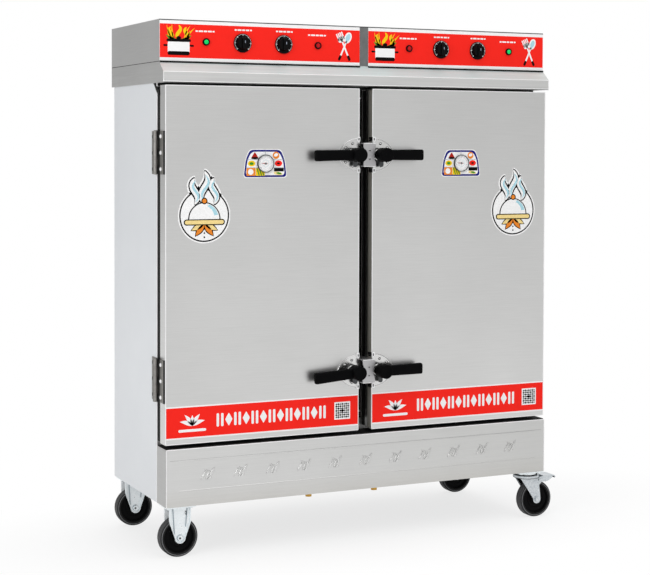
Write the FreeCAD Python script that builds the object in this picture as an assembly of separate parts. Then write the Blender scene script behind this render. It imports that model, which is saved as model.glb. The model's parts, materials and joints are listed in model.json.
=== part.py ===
"""Rice steamer cabinet: two insulated chambers behind two doors, on four casters.

Left and right are as seen from the front. All points below are in the cabinet's
layout: x is 0 at the middle of the front and grows to the right, y is 0 at the
face of the control box and grows to the back, z is 0 at the floor. Every piece
is moved by one shift when it is written, so that the origin of the part is the
middle of its box on the floor.
"""
import FreeCAD
import Part
import math
import os

Vector = FreeCAD.Vector

# Cabinet, driving dimensions in millimetres
WIDTH = 1400.0
DEPTH = 495.0
CASTER_HEIGHT = 162.0
PLINTH_TOP = 343.0
DOOR_BOTTOM = 356.0
DOOR_TOP = 1476.0
COLLAR_BOTTOM = 1484.0
COLLAR_KNEE = 1517.0
BOX_BOTTOM = 1550.0
BOX_TOP = 1681.0
BODY_INSET = 9.0
BODY_FRONT = 48.0
COLLAR_FRONT = -38.5
PLINTH_FRONT = -39.5
BEAD_SHARES = (0.21, 0.73)
SHEET = 1.0
LINER_SHEET = 0.8
FOAM_TOP = 1490.0
HALF = WIDTH / 2.0
BODY_HALF = HALF - BODY_INSET
INNER_HALF = BODY_HALF - SHEET

# Doors, the right one as drawn, the left one mirrored
DOOR_INNER_X = 23.8
DOOR_FRONT = -32.0
DOOR_DEPTH = 49.0
DOOR_BACK = DOOR_FRONT + DOOR_DEPTH
GASKET_BACK = BODY_FRONT - 0.4
GASKET_WIDTH = 17.0

# Chambers
CHAMBER_X0 = 46.0
CHAMBER_X1 = 662.0
CHAMBER_BACK = 470.0
WELL_FLOOR = 262.0
SILL_Z = 391.0
CHAMBER_TOP = 1441.0
TRAY_LEVELS = 12
TRAY_PITCH = 82.0
FIRST_RUNNER_Z = 448.0
RACK_POST = 3.0
RUNNER_REACH = 20.0
RUNNER_SHEET = 2.0
RUNNER_FRONT = 60.0
RUNNER_BACK = 464.0
GUARD_TOP = SILL_Z - 10.0
STEAM_GAP = 42.0

# Hinges
HINGE_X = 701.0
HINGE_Y = 34.0
HINGE_HEIGHTS = (553.0, 1266.0)
HINGE_LENGTH = 135.0
KNUCKLES = 5
KNUCKLE_GAP = 0.5
KNUCKLE_R = 8.0
PIN_R = 4.0
LEAF = 3.0
BODY_LEAF_START = 10.0
DOOR_LEAF_START = 22.0
BODY_LEAF_WIDTH = 46.0
DOOR_LEAF_WIDTH = 32.0
BODY_LEAF_SCREW = 32.0
DOOR_LEAF_SCREW = 9.0
LEAF_SCREW_PITCH = 51.0
RUNNING_GAP = 0.06

# Latches
LATCH_X = 47.5
LATCH_HEIGHTS = {"lower": 552.0, "upper": 1260.0}
LATCH_FLANGE_HALF = 54.0
LATCH_FLANGE_END = 103.0
LATCH_FLANGE_R = 55.0
LATCH_SCREW_R = 37.0
LATCH_HUB_R = 23.0
LATCH_HUB_FRONT = DOOR_FRONT - 66.0
SPINDLE_R = 8.0
LEVER_LENGTH = 148.0
LEVER_LEAN = 4.5
CAM_REACH = 40.0
KEEPER_HALF_WIDTH = 22.0
KEEPER_HALF_HEIGHT = 38.5
KEEPER_FRONT = DOOR_FRONT - 28.0
LEVER_DROOP = {"lower_left": 5.2, "upper_left": 1.2, "lower_right": 0.0, "upper_right": 0.0}

# Controls on the box
CONTROL_Z = 1613.5
THERMOSTAT_X = 430.0
TIMER_X = 288.0
GREEN_LAMP_X = 553.0
RED_LAMP_X = 167.0
KNOB_R = 30.0
KNOB_SHAFT_R = 3.0
STRIP_HALF = 15.7
PANEL_SHIFT = 6.5

# Thermometers in the doors
THERMOMETER_X = 357.0
THERMOMETER_Z = 1232.0
THERMOMETER_R = 28.5
STEM_R = 3.0

# Casters
CASTER_X = 641.0
CASTER_FRONT_Y = -3.0
CASTER_BACK_Y = 444.0
CASTER_PLATE = (100.0, 76.0, 3.0)
CASTER_BOLTS = (35.0, 25.0)
WHEEL_R = 62.5
WHEEL_WIDTH = 34.0
HUB_R = 50.0
AXLE_R = 6.0
TRAIL = 31.0
FORK_INNER = 20.0
FORK_SHEET = 3.0
PEDAL_PIVOT = (44.0, 132.0)
PEDAL_TIP = 105.0

# Pipes
DRAIN_X = 123.0
DRAIN_Y = 145.0
DRAIN_END = 111.0
DRAIN_R = 10.5
VENT_X = 354.0
VENT_Z = 1400.0
VENT_R = 12.0
VENT_END = 520.0
GLAND_X = 560.0
GLAND_Z = 1600.0

# Base frame
TUBE = 30.0
TUBE_WALL = 2.0
FRAME_FRONT = PLINTH_FRONT + SHEET

# The shift that puts the origin at the middle of the box on the floor
X_LOW = -(HINGE_X + KNUCKLE_R)
X_HIGH = CASTER_X + PEDAL_TIP
Y_LOW = LATCH_HUB_FRONT
Y_HIGH = VENT_END
SHIFT = Vector(-(X_LOW + X_HIGH) / 2.0, -(Y_LOW + Y_HIGH) / 2.0, 0.0)


def box(x0, x1, y0, y1, z0, z1):
    """Block between two corners."""
    return Part.makeBox(x1 - x0, y1 - y0, z1 - z0, Vector(x0, y0, z0))


def rod_x(y, z, radius, x0, x1):
    """Round bar along x."""
    return Part.makeCylinder(radius, x1 - x0, Vector(x0, y, z), Vector(1, 0, 0))


def rod_y(x, z, radius, y0, y1):
    """Round bar along y."""
    return Part.makeCylinder(radius, y1 - y0, Vector(x, y0, z), Vector(0, 1, 0))


def rod_z(x, y, radius, z0, z1):
    """Round bar along z."""
    return Part.makeCylinder(radius, z1 - z0, Vector(x, y, z0), Vector(0, 0, 1))


def plate_xz(points, y0, y1):
    """Plate with a straight-sided outline in x and z, from y0 to y1."""
    corners = [Vector(x, y0, z) for x, z in points]
    face = Part.Face(Part.makePolygon(corners + corners[:1]))
    return face.extrude(Vector(0, y1 - y0, 0))


def plate_yz(points, x0, x1):
    """Plate with a straight-sided outline in y and z, from x0 to x1."""
    corners = [Vector(x0, y, z) for y, z in points]
    face = Part.Face(Part.makePolygon(corners + corners[:1]))
    return face.extrude(Vector(x1 - x0, 0, 0))


def hexagon_y(x, z, across_flats, y0, y1):
    """Hexagonal nut along y."""
    radius = across_flats / math.sqrt(3.0)
    angles = [math.radians(60.0 * i) for i in range(6)]
    return plate_xz([(x + radius * math.cos(a), z + radius * math.sin(a)) for a in angles], y0, y1)


def hexagon_z(x, y, across_flats, z0, z1):
    """Hexagonal nut along z."""
    nut = hexagon_y(0.0, 0.0, across_flats, 0.0, z1 - z0)
    nut.rotate(Vector(0, 0, 0), Vector(1, 0, 0), 90.0)
    nut.translate(Vector(x, y, z0))
    return nut


def join(shapes):
    """One solid from shapes that overlap."""
    return shapes[0].fuse(shapes[1:]).removeSplitter() if len(shapes) > 1 else shapes[0]


def cut(shape, tools):
    """Shape with the tools taken out."""
    return shape.cut(tools)


def mirrored(shape):
    """The same shape on the other side of the middle."""
    return shape.mirror(Vector(0, 0, 0), Vector(1, 0, 0))


def turned_y(shape, x, z, degrees):
    """Shape turned about an axis along y through x and z."""
    turned = shape.copy()
    turned.rotate(Vector(x, 0, z), Vector(0, 1, 0), degrees)
    return turned


def rounded(shape, radius, keep):
    """Shape with a round on each edge whose two end points both pass the test."""
    edges = [e for e in shape.Edges if all(keep(v.Point) for v in e.Vertexes)]
    return shape.makeFillet(radius, edges)


def save(name, shapes):
    """Move the solids of one node by the shift and write them as one file."""
    moved = [shape.copy() for shape in shapes]
    for shape in moved:
        shape.translate(SHIFT)
    whole = moved[0] if len(moved) == 1 else Part.makeCompound(moved)
    whole.exportStep(os.path.join("parts", name + ".step"))
    solids = sum(len(shape.Solids) for shape in moved)
    print(name, "solids", solids, "volume", round(whole.Volume / 1000.0, 1), "valid", whole.isValid())


def both(shape):
    """The shape and its mirror image."""
    return [shape, mirrored(shape)]


# Base frame and outer sheets

def caster_places():
    """Middle of each caster plate."""
    return [(side * CASTER_X, y) for side in (-1, 1) for y in (CASTER_FRONT_Y, CASTER_BACK_Y)]


def bolt_places():
    """Middle of each caster bolt."""
    dx, dy = CASTER_BOLTS
    signs = [(sx, sy) for sx in (-1, 1) for sy in (-1, 1)]
    return [(x + sx * dx, y + sy * dy) for x, y in caster_places() for sx, sy in signs]


def make_base_frame():
    """Welded square tubes under the body, and the floor sheet on them."""
    z0 = CASTER_HEIGHT
    z1 = z0 + TUBE
    back = DEPTH - SHEET
    inner_tube = CASTER_X - CASTER_PLATE[0] / 2.0
    bars = [(-INNER_HALF, INNER_HALF, FRAME_FRONT, FRAME_FRONT + TUBE)]
    bars.append((-INNER_HALF, INNER_HALF, back - TUBE, back))
    bars.append((-TUBE / 2.0, TUBE / 2.0, FRAME_FRONT, back))
    for side in (-1, 1):
        outer = sorted((side * INNER_HALF, side * (INNER_HALF - TUBE)))
        inner = sorted((side * inner_tube, side * (inner_tube + TUBE)))
        bars.append((outer[0], outer[1], FRAME_FRONT, back))
        bars.append((inner[0], inner[1], FRAME_FRONT, back))
    wall = TUBE_WALL
    outside = join([box(a, b, c, d, z0, z1) for a, b, c, d in bars])
    hollows = [box(a + wall, b - wall, c + wall, d - wall, z0 + wall, z1 - wall) for a, b, c, d in bars]
    bolts = [rod_z(x, y, 4.2, z0 - 1.0, z0 + wall + 1.0) for x, y in bolt_places()]
    tubes = cut(outside, [join(hollows)] + bolts)
    sheet = box(-INNER_HALF, INNER_HALF, FRAME_FRONT, back, z1, z1 + SHEET)
    drains = [rod_z(side * DRAIN_X, DRAIN_Y, DRAIN_R + 0.5, z1 - 1.0, z1 + 3.0) for side in (-1, 1)]
    save("base_frame", [tubes, cut(sheet, drains)])


def make_side_panels():
    """Flat outer side sheets with a hem at the lower edge."""
    panel = box(BODY_HALF - SHEET, BODY_HALF, BODY_FRONT, DEPTH, CASTER_HEIGHT, BOX_BOTTOM - 0.2)
    save("side_panel_right", [panel])
    save("side_panel_left", [mirrored(panel)])


def make_back_panel():
    """Back sheet with three pressed ribs across it and two vent holes."""
    face = DEPTH - SHEET
    panel = box(-INNER_HALF, INNER_HALF, face, DEPTH, CASTER_HEIGHT, BOX_BOTTOM - 0.2)
    rib_reach = INNER_HALF - 60.0
    ribs = [rod_x(DEPTH, z, 3.0, -rib_reach, rib_reach) for z in (500.0, 850.0, 1200.0)]
    holes = [rod_y(side * VENT_X, VENT_Z, VENT_R + 0.1, face - 5.0, DEPTH + 5.0) for side in (-1, 1)]
    inner = box(-HALF, HALF, face - 20.0, face, CASTER_HEIGHT, BOX_BOTTOM)
    save("back_panel", [cut(join([panel] + ribs), [inner] + holes)])


def knob_places():
    """Middle of each knob across the front."""
    places = {"timer_knob_left": -TIMER_X, "thermostat_knob_left": -THERMOSTAT_X,
              "timer_knob_right": TIMER_X, "thermostat_knob_right": THERMOSTAT_X}
    return {name: x + PANEL_SHIFT for name, x in places.items()}


def lamp_places(x):
    """Middle of the left and of the right lamp of one colour."""
    return (PANEL_SHIFT - x, PANEL_SHIFT + x)


def front_holes(y0, y1):
    """Holes for the knob shafts and the lamp barrels."""
    holes = [rod_y(x, CONTROL_Z, 5.0, y0, y1) for x in knob_places().values()]
    for x in (GREEN_LAMP_X, RED_LAMP_X):
        holes += [rod_y(place, CONTROL_Z, 6.2, y0, y1) for place in lamp_places(x)]
    return holes


def make_control_box():
    """Closed box of folded sheet across the top, with a lid that laps over it."""
    shell = box(-HALF, HALF, 0.0, DEPTH, BOX_BOTTOM, BOX_TOP - SHEET)
    inside = box(-HALF + SHEET, HALF - SHEET, SHEET, DEPTH - SHEET, BOX_BOTTOM + SHEET, BOX_TOP)
    gland = rod_y(GLAND_X, GLAND_Z, 11.2, DEPTH - 5.0, DEPTH + 1.0)
    lid = box(-HALF, HALF, 0.0, DEPTH, BOX_TOP - SHEET, BOX_TOP)
    save("control_box", [cut(shell, [inside, gland] + front_holes(-1.0, 3.0)), lid])


def make_collar():
    """Sloping trim between the control box and the doors, with a cheek on each side."""
    t = SHEET
    profile = [(COLLAR_FRONT, COLLAR_BOTTOM), (COLLAR_FRONT, COLLAR_KNEE), (0.0, BOX_BOTTOM),
               (DEPTH, BOX_BOTTOM), (DEPTH, COLLAR_BOTTOM)]
    slope = math.hypot(-COLLAR_FRONT, BOX_BOTTOM - COLLAR_KNEE)
    drop = t * slope / -COLLAR_FRONT
    hollow = [(COLLAR_FRONT + t, COLLAR_BOTTOM + t), (COLLAR_FRONT + t, COLLAR_KNEE - 0.3 * t),
              (0.0, BOX_BOTTOM - drop), (0.0, BOX_BOTTOM + 1.0), (DEPTH + 1.0, BOX_BOTTOM + 1.0),
              (DEPTH + 1.0, COLLAR_BOTTOM + t)]
    side = BODY_HALF + 0.3
    body = box(-side, side, BODY_FRONT - 0.3, DEPTH + 1.0, COLLAR_BOTTOM - 1.0, BOX_BOTTOM + 1.0)
    outside = plate_yz(profile, -HALF, HALF)
    save("collar", [cut(outside, [plate_yz(hollow, -HALF + t, HALF - t), body])])


def make_fascia_plates():
    """Two thin printed plates on the front of the control box."""
    low = BOX_BOTTOM + 1.0
    high = BOX_TOP - 3.5
    left = box(1.0 - HALF, PANEL_SHIFT - STRIP_HALF, -1.0, 0.0, low, high)
    right = box(PANEL_SHIFT + STRIP_HALF, HALF - 1.0, -1.0, 0.0, low, high)
    save("fascia_plates", [cut(plate, front_holes(-2.0, 1.0)) for plate in (left, right)])


def make_front_frame():
    """Front sheet of the body with the two chamber openings and the mullion."""
    y0 = BODY_FRONT
    y1 = y0 + SHEET
    plate = box(-INNER_HALF, INNER_HALF, y0, y1, CASTER_HEIGHT + TUBE + SHEET, BOX_BOTTOM - 0.2)
    opening = box(CHAMBER_X0, CHAMBER_X1, y0 - 1.0, y1 + 1.0, SILL_Z, CHAMBER_TOP)
    save("front_frame", [cut(plate, both(opening))])


def make_chamber_liners():
    """Stainless liner of each chamber in welded sheets, with the water well below the sill."""
    t = LINER_SHEET
    x0 = CHAMBER_X0
    x1 = CHAMBER_X1
    y0 = BODY_FRONT + SHEET
    y1 = CHAMBER_BACK
    z0 = WELL_FLOOR
    z1 = CHAMBER_TOP
    drain = rod_z(DRAIN_X, DRAIN_Y, DRAIN_R + 0.1, z0 - 5.0, z0 + 1.0)
    vent = rod_y(VENT_X, VENT_Z, VENT_R + 0.1, y1 - 1.0, y1 + 5.0)
    sheets = [
        box(x0 - t, x0, y0, y1 + t, z0 - t, z1 + t),
        box(x1, x1 + t, y0, y1 + t, z0 - t, z1 + t),
        box(x0, x1, y0, y1 + t, z1, z1 + t),
        cut(box(x0, x1, y0, y1 + t, z0 - t, z0), [drain]),
        cut(box(x0, x1, y1, y1 + t, z0, z1), [vent]),
        box(x0, x1, y0, y0 + t, z0, SILL_Z),
    ]
    save("chamber_liner_right", sheets)
    save("chamber_liner_left", [mirrored(sheet) for sheet in sheets])


def make_body_insulation():
    """Foam that fills the body round the two liners."""
    y0 = BODY_FRONT + SHEET + 0.2
    y1 = DEPTH - SHEET - 0.2
    z0 = CASTER_HEIGHT + TUBE + SHEET + 0.2
    block = box(-INNER_HALF + 0.4, INNER_HALF - 0.4, y0, y1, z0, FOAM_TOP)
    gap = LINER_SHEET + 0.2
    low = WELL_FLOOR - gap
    high = CHAMBER_TOP + gap
    pocket = box(CHAMBER_X0 - gap, CHAMBER_X1 + gap, y0 - 5.0, CHAMBER_BACK + gap, low, high)
    drain = rod_z(DRAIN_X, DRAIN_Y, DRAIN_R + 0.5, z0 - 1.0, WELL_FLOOR)
    vent = rod_y(VENT_X, VENT_Z, VENT_R + 0.5, CHAMBER_BACK, y1 + 1.0)
    save("body_insulation", [cut(block, both(pocket) + both(drain) + both(vent))])


def make_plinth_panel():
    """Front skirt under the doors: front, two side returns, top return and two pressed beads."""
    t = SHEET
    z0 = CASTER_HEIGHT
    outside = box(-BODY_HALF, BODY_HALF, PLINTH_FRONT, BODY_FRONT - 0.3, z0, PLINTH_TOP)
    half = BODY_HALF - t
    inside = box(-half, half, PLINTH_FRONT + t, BODY_FRONT + 1.0, z0 - 1.0, PLINTH_TOP - t)
    height = PLINTH_TOP - z0
    reach = BODY_HALF - 40.0
    behind = box(-HALF, HALF, PLINTH_FRONT + 0.5, BODY_FRONT, z0, PLINTH_TOP)
    beads = []
    for share in BEAD_SHARES:
        bead = rod_x(PLINTH_FRONT + 1.6, PLINTH_TOP - share * height, 2.4, -reach, reach)
        beads.append(cut(bead, [behind]))
    save("plinth_panel", [join([cut(outside, [inside])] + beads)])


# Inside the chambers

def make_tray_racks():
    """Two ladders in each chamber: three posts on the wall, and a flat runner for each tray."""
    inside = CHAMBER_X0 + RACK_POST
    top = FIRST_RUNNER_Z + (TRAY_LEVELS - 1) * TRAY_PITCH + 20.0
    ladder = [box(CHAMBER_X0, inside, y, y + 20.0, SILL_Z + 2.0, top) for y in (100.0, 262.0, 420.0)]
    for level in range(TRAY_LEVELS):
        z = FIRST_RUNNER_Z + level * TRAY_PITCH
        ladder.append(box(inside, CHAMBER_X0 + RUNNER_REACH, RUNNER_FRONT, RUNNER_BACK, z, z + RUNNER_SHEET))
    solids = []
    for bar in ladder:
        across = mirrored(bar)
        across.translate(Vector(CHAMBER_X0 + CHAMBER_X1, 0, 0))
        solids += both(bar) + both(across)
    save("tray_racks", solids)


def hairpin(x, z, y_front, y_back, spacing, radius):
    """Tube element bent back on itself, as two straight legs and a half turn."""
    half = spacing / 2.0
    start = Vector(x - half, y_back, z)
    bend_y = y_front + half
    path = Part.Wire([
        Part.LineSegment(start, Vector(x - half, bend_y, z)).toShape(),
        Part.Arc(Vector(x - half, bend_y, z), Vector(x, y_front, z), Vector(x + half, bend_y, z)).toShape(),
        Part.LineSegment(Vector(x + half, bend_y, z), Vector(x + half, y_back, z)).toShape(),
    ])
    profile = Part.Wire(Part.makeCircle(radius, start, Vector(0, 1, 0)))
    return path.makePipeShell([profile], True, False)


def make_heating_elements():
    """Three tube elements in each well, each on a round flange on the back wall."""
    z = WELL_FLOOR + 45.0
    solids = []
    for x in (130.0, 354.0, 578.0):
        flange = rod_y(x, z, 42.0, CHAMBER_BACK - 6.0, CHAMBER_BACK)
        tube = hairpin(x, z, 110.0, CHAMBER_BACK - 3.0, 60.0, 6.0)
        solids += both(join([flange, tube]))
    save("heating_elements", solids)


def make_element_guards():
    """Perforated shelf over each well, on four feet, with a steam gap left along the front."""
    z = GUARD_TOP - 2.0
    x0 = CHAMBER_X0 + 4.0
    x1 = CHAMBER_X1 - 4.0
    y0 = BODY_FRONT + STEAM_GAP
    y1 = CHAMBER_BACK - 6.0
    shelf = box(x0, x1, y0, y1, z, GUARD_TOP)
    columns = 12
    rows = 7
    holes = []
    for i in range(columns):
        for j in range(rows):
            x = x0 + (x1 - x0) * (i + 0.5) / columns
            y = y0 + (y1 - y0) * (j + 0.5) / rows
            holes.append(rod_z(x, y, 9.0, z - 1.0, z + 3.0))
    solids = both(cut(shelf, holes))
    for x in (x0 + 3.0, x1 - 15.0):
        for y in (y0 + 3.0, y1 - 15.0):
            solids += both(box(x, x + 12.0, y, y + 12.0, WELL_FLOOR, z))
    save("element_guards", solids)


# Pipes and electrical gear

def make_pipe_outlets():
    """Drain of each well down through the floor, and steam vent of each chamber out at the back."""
    pipe = rod_z(DRAIN_X, DRAIN_Y, DRAIN_R, DRAIN_END, WELL_FLOOR)
    nut = hexagon_z(DRAIN_X, DRAIN_Y, 27.0, DRAIN_END + 22.0, DRAIN_END + 34.0)
    lip = rod_z(DRAIN_X, DRAIN_Y, DRAIN_R + 1.5, DRAIN_END + 16.0, DRAIN_END + 22.5)
    bore = rod_z(DRAIN_X, DRAIN_Y, 7.5, DRAIN_END - 1.0, WELL_FLOOR + 1.0)
    drains = both(cut(join([pipe, nut, lip]), [bore]))
    pipe = rod_y(VENT_X, VENT_Z, VENT_R, CHAMBER_BACK, VENT_END)
    flange = rod_y(VENT_X, VENT_Z, 24.0, DEPTH, DEPTH + 2.0)
    bore = rod_y(VENT_X, VENT_Z, VENT_R - 1.5, CHAMBER_BACK - 1.0, VENT_END + 1.0)
    save("pipe_outlets", drains + both(cut(join([pipe, flange]), [bore])))


def cable_gland():
    """Gland for the supply cable in the back of the control box."""
    gland = join([
        rod_y(GLAND_X, GLAND_Z, 11.0, DEPTH - 10.0, DEPTH + 4.0),
        hexagon_y(GLAND_X, GLAND_Z, 28.0, DEPTH, DEPTH + 6.0),
        hexagon_y(GLAND_X, GLAND_Z, 28.0, DEPTH - 8.0, DEPTH - SHEET),
        Part.makeCone(13.0, 9.5, 12.0, Vector(GLAND_X, DEPTH + 5.0, GLAND_Z), Vector(0, 1, 0)),
    ])
    cable_way = rod_y(GLAND_X, GLAND_Z, 5.5, DEPTH - 12.0, DEPTH + 20.0)
    return cut(gland, [cable_way])


def make_control_gear():
    """Thermostats and timers behind the knobs, contactors, terminals and the cable gland."""
    solids = []
    back_of_front = SHEET + 0.1
    for name, x in knob_places().items():
        depth = 34.0 if name.startswith("timer") else 46.0
        y1 = back_of_front + depth
        case = box(x - 22.0, x + 22.0, back_of_front, y1, CONTROL_Z - 24.0, CONTROL_Z + 24.0)
        bore = rod_y(x, CONTROL_Z, KNOB_SHAFT_R + RUNNING_GAP, 0.0, 18.0)
        solids.append(cut(case, [bore]))
    floor = BOX_BOTTOM + SHEET
    contactor = join([box(310.0, 385.0, 300.0, 385.0, floor, floor + 60.0),
                      box(320.0, 375.0, 310.0, 375.0, floor + 59.0, floor + 85.0)])
    strip = box(120.0, 270.0, 320.0, 350.0, floor, floor + 32.0)
    save("control_gear", solids + both(contactor) + both(strip) + [cable_gland()])


def make_pilot_lamps():
    """Black bezel with a barrel through the front, and a domed lens in it."""
    bezel = join([rod_y(0.0, CONTROL_Z, 11.5, -7.0, -1.0), rod_y(0.0, CONTROL_Z, 5.9, -1.5, 20.0)])
    bezel = cut(bezel, [rod_y(0.0, CONTROL_Z, 8.3, -8.0, -2.5)])
    lens = rod_y(0.0, CONTROL_Z, 8.1, -8.5, -2.5)
    lens = rounded(lens, 3.0, lambda p: p.y < -8.0)
    for name, x in (("pilot_lamps_green", GREEN_LAMP_X), ("pilot_lamps_red", RED_LAMP_X)):
        lamps = []
        for place in lamp_places(x):
            for shape in (lens.copy(), bezel.copy()):
                shape.translate(Vector(place, 0, 0))
                lamps.append(shape)
        save(name, lamps)


def make_knobs():
    """Round skirt, raised body and finger bar, on a shaft into the control behind."""
    for name, x in knob_places().items():
        skirt = rod_y(x, CONTROL_Z, KNOB_R, -6.0, -2.0)
        skirt = rounded(skirt, 1.5, lambda p: p.y < -5.0)
        body = Part.makeCone(22.0, 19.0, 9.5, Vector(x, -5.5, CONTROL_Z), Vector(0, -1, 0))
        bar = box(x - 5.5, x + 5.5, -21.0, -14.0, CONTROL_Z - 18.0, CONTROL_Z + 18.0)
        bar = rounded(bar, 2.0, lambda p: p.y < -20.0)
        shaft = rod_y(x, CONTROL_Z, KNOB_SHAFT_R, -2.5, 16.0)
        save(name, [join([skirt, body, bar, shaft])])


# Doors

def make_doors():
    """Folded outer skin, foam core, inner panel and gasket of each door."""
    t = SHEET
    x0 = DOOR_INNER_X
    x1 = BODY_HALF
    outside = box(x0, x1, DOOR_FRONT, DOOR_BACK, DOOR_BOTTOM, DOOR_TOP)
    outside = rounded(outside, 2.5, lambda p: p.y < DOOR_FRONT + 1.0)
    inside = box(x0 + t, x1 - t, DOOR_FRONT + t, DOOR_BACK + 1.0, DOOR_BOTTOM + t, DOOR_TOP - t)
    stem_hole = rod_y(THERMOMETER_X, THERMOMETER_Z, STEM_R + 0.3, DOOR_FRONT - 1.0, DOOR_BACK + 1.0)
    skin = cut(outside, [inside, stem_hole])
    gap = t + 0.2
    plate = box(x0 + gap, x1 - gap, DOOR_BACK - t, DOOR_BACK, DOOR_BOTTOM + gap, DOOR_TOP - gap)
    foam = box(x0 + gap, x1 - gap, DOOR_FRONT + gap, DOOR_BACK - t, DOOR_BOTTOM + gap, DOOR_TOP - gap)
    margin = 3.0
    low = (x0 + margin, DOOR_BOTTOM + margin)
    high = (x1 - margin, DOOR_TOP - margin)
    ring = box(low[0], high[0], DOOR_BACK, GASKET_BACK, low[1], high[1])
    w = GASKET_WIDTH
    middle = box(low[0] + w, high[0] - w, DOOR_BACK - 1.0, GASKET_BACK + 1.0, low[1] + w, high[1] - w)
    ring = cut(ring, [middle])
    for side, place in (("right", lambda s: s), ("left", mirrored)):
        save("door_skin_" + side, [place(skin)])
        save("door_inner_panel_" + side, [place(cut(plate, [stem_hole]))])
        save("door_core_" + side, [place(cut(foam, [stem_hole]))])
        save("door_gasket_" + side, [place(ring)])


def screw_x(x, y, z, shank):
    """Pan-head screw with its head to the right and its shank running left."""
    head = rod_x(y, z, 5.5, x, x + 2.4)
    head = rounded(head, 1.6, lambda p: p.x > x + 2.0)
    return join([head, rod_x(y, z, 2.5, x - shank, x + 0.5)])


def hinge_leaf(z, direction, start, width, screw_at, own_knuckles, bore):
    """One leaf flat on the side face with its own knuckles on the common axis.

    The leaf lies behind the axis where direction is 1 and in front of it where it is -1. Its near
    edge is at start from the axis, and its screws are at screw_at from that edge.
    """
    z0 = z - HINGE_LENGTH / 2.0
    pitch = HINGE_LENGTH / KNUCKLES
    near = HINGE_Y + direction * start
    far = near + direction * width
    x0 = BODY_HALF
    x1 = BODY_HALF + LEAF
    y0, y1 = sorted((near, far))
    shapes = [box(x0, x1, y0, y1, z0, z0 + HINGE_LENGTH)]
    y0, y1 = sorted((HINGE_Y, near + direction))
    for i in own_knuckles:
        low = z0 + i * pitch + KNUCKLE_GAP / 2.0
        high = low + pitch - KNUCKLE_GAP
        shapes.append(rod_z(HINGE_X, HINGE_Y, KNUCKLE_R, low, high))
        shapes.append(box(x0, x1, y0, y1, low, high))
    holes = [rod_z(HINGE_X, HINGE_Y, bore, z0 - 1.0, z0 + HINGE_LENGTH + 1.0)]
    middle = near + direction * screw_at
    screws = []
    for i in (-1, 0, 1):
        screw_z = z + i * LEAF_SCREW_PITCH
        holes.append(rod_x(middle, screw_z, 2.6, x0 - 1.0, x1 + 1.0))
        screws.append(screw_x(x1, middle, screw_z, LEAF - 0.2))
    return [cut(join(shapes), holes)] + screws


def make_hinges():
    """Butt hinges at the outer edge of each door: body leaf, door leaf, pin and screws."""
    body_side = []
    door_side = []
    half = HINGE_LENGTH / 2.0
    for z in HINGE_HEIGHTS:
        body_side += hinge_leaf(z, 1, BODY_LEAF_START, BODY_LEAF_WIDTH, BODY_LEAF_SCREW,
                                (0, 2, 4), PIN_R + 0.02)
        door_side += hinge_leaf(z, -1, DOOR_LEAF_START, DOOR_LEAF_WIDTH, DOOR_LEAF_SCREW,
                                (1, 3), PIN_R + RUNNING_GAP)
        shank = rod_z(HINGE_X, HINGE_Y, PIN_R, z - half - 1.0, z + half + 1.0)
        head = rod_z(HINGE_X, HINGE_Y, PIN_R + 1.5, z + half, z + half + 2.5)
        body_side.append(join([shank, head]))
    save("body_hinges", body_side + [mirrored(s) for s in body_side])
    save("door_hinge_leaves_right", door_side)
    save("door_hinge_leaves_left", [mirrored(s) for s in door_side])


def latch_base(z):
    """Base of the right door's latch: flange of two arcs, boss, two edge tabs and four screws."""
    y0 = DOOR_FRONT - 3.0
    middle = DOOR_INNER_X + 6.0
    reach = LATCH_FLANGE_END - middle
    r = (reach ** 2 + LATCH_FLANGE_HALF ** 2) / (2.0 * LATCH_FLANGE_HALF)
    drop = r - LATCH_FLANGE_HALF
    flange = rod_y(middle, z + drop, r, y0, DOOR_FRONT).common(rod_y(middle, z - drop, r, y0, DOOR_FRONT))
    flange = flange.common(rod_y(LATCH_X, z, LATCH_FLANGE_R, y0, DOOR_FRONT).fuse(
        box(0.0, LATCH_X, y0, DOOR_FRONT, z - 60.0, z + 60.0)))
    edge = box(-HALF, DOOR_INNER_X, y0 - 1.0, DOOR_FRONT + 1.0, z - 100.0, z + 100.0)
    shapes = [cut(flange, [edge]), rod_y(LATCH_X, z, 19.0, DOOR_FRONT - 13.0, y0 + 0.5)]
    for low in (-58.0, 44.0):
        shapes.append(box(DOOR_INNER_X - 1.5, DOOR_INNER_X, y0, DOOR_FRONT + 24.0, z + low, z + low + 14.0))
        shapes.append(box(DOOR_INNER_X - 1.5, DOOR_INNER_X + 2.0, y0, DOOR_FRONT, z + low, z + low + 14.0))
    bore = rod_y(LATCH_X, z, SPINDLE_R + RUNNING_GAP, DOOR_FRONT - 20.0, DOOR_FRONT + 0.5)
    holes = [bore]
    screws = []
    for degrees in (-85.0, -40.0, 40.0, 85.0):
        x = LATCH_X + LATCH_SCREW_R * math.cos(math.radians(degrees))
        screw_z = z + LATCH_SCREW_R * math.sin(math.radians(degrees))
        holes.append(rod_y(x, screw_z, 2.6, y0 - 1.0, DOOR_FRONT + 1.0))
        head = rod_y(x, screw_z, 4.8, y0 - 2.2, y0)
        head = rounded(head, 1.4, lambda p: p.y < y0 - 2.0)
        screws.append(join([head, rod_y(x, screw_z, 2.5, y0 - 0.5, DOOR_FRONT - 0.1)]))
    return [cut(join(shapes), holes)] + screws


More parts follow.
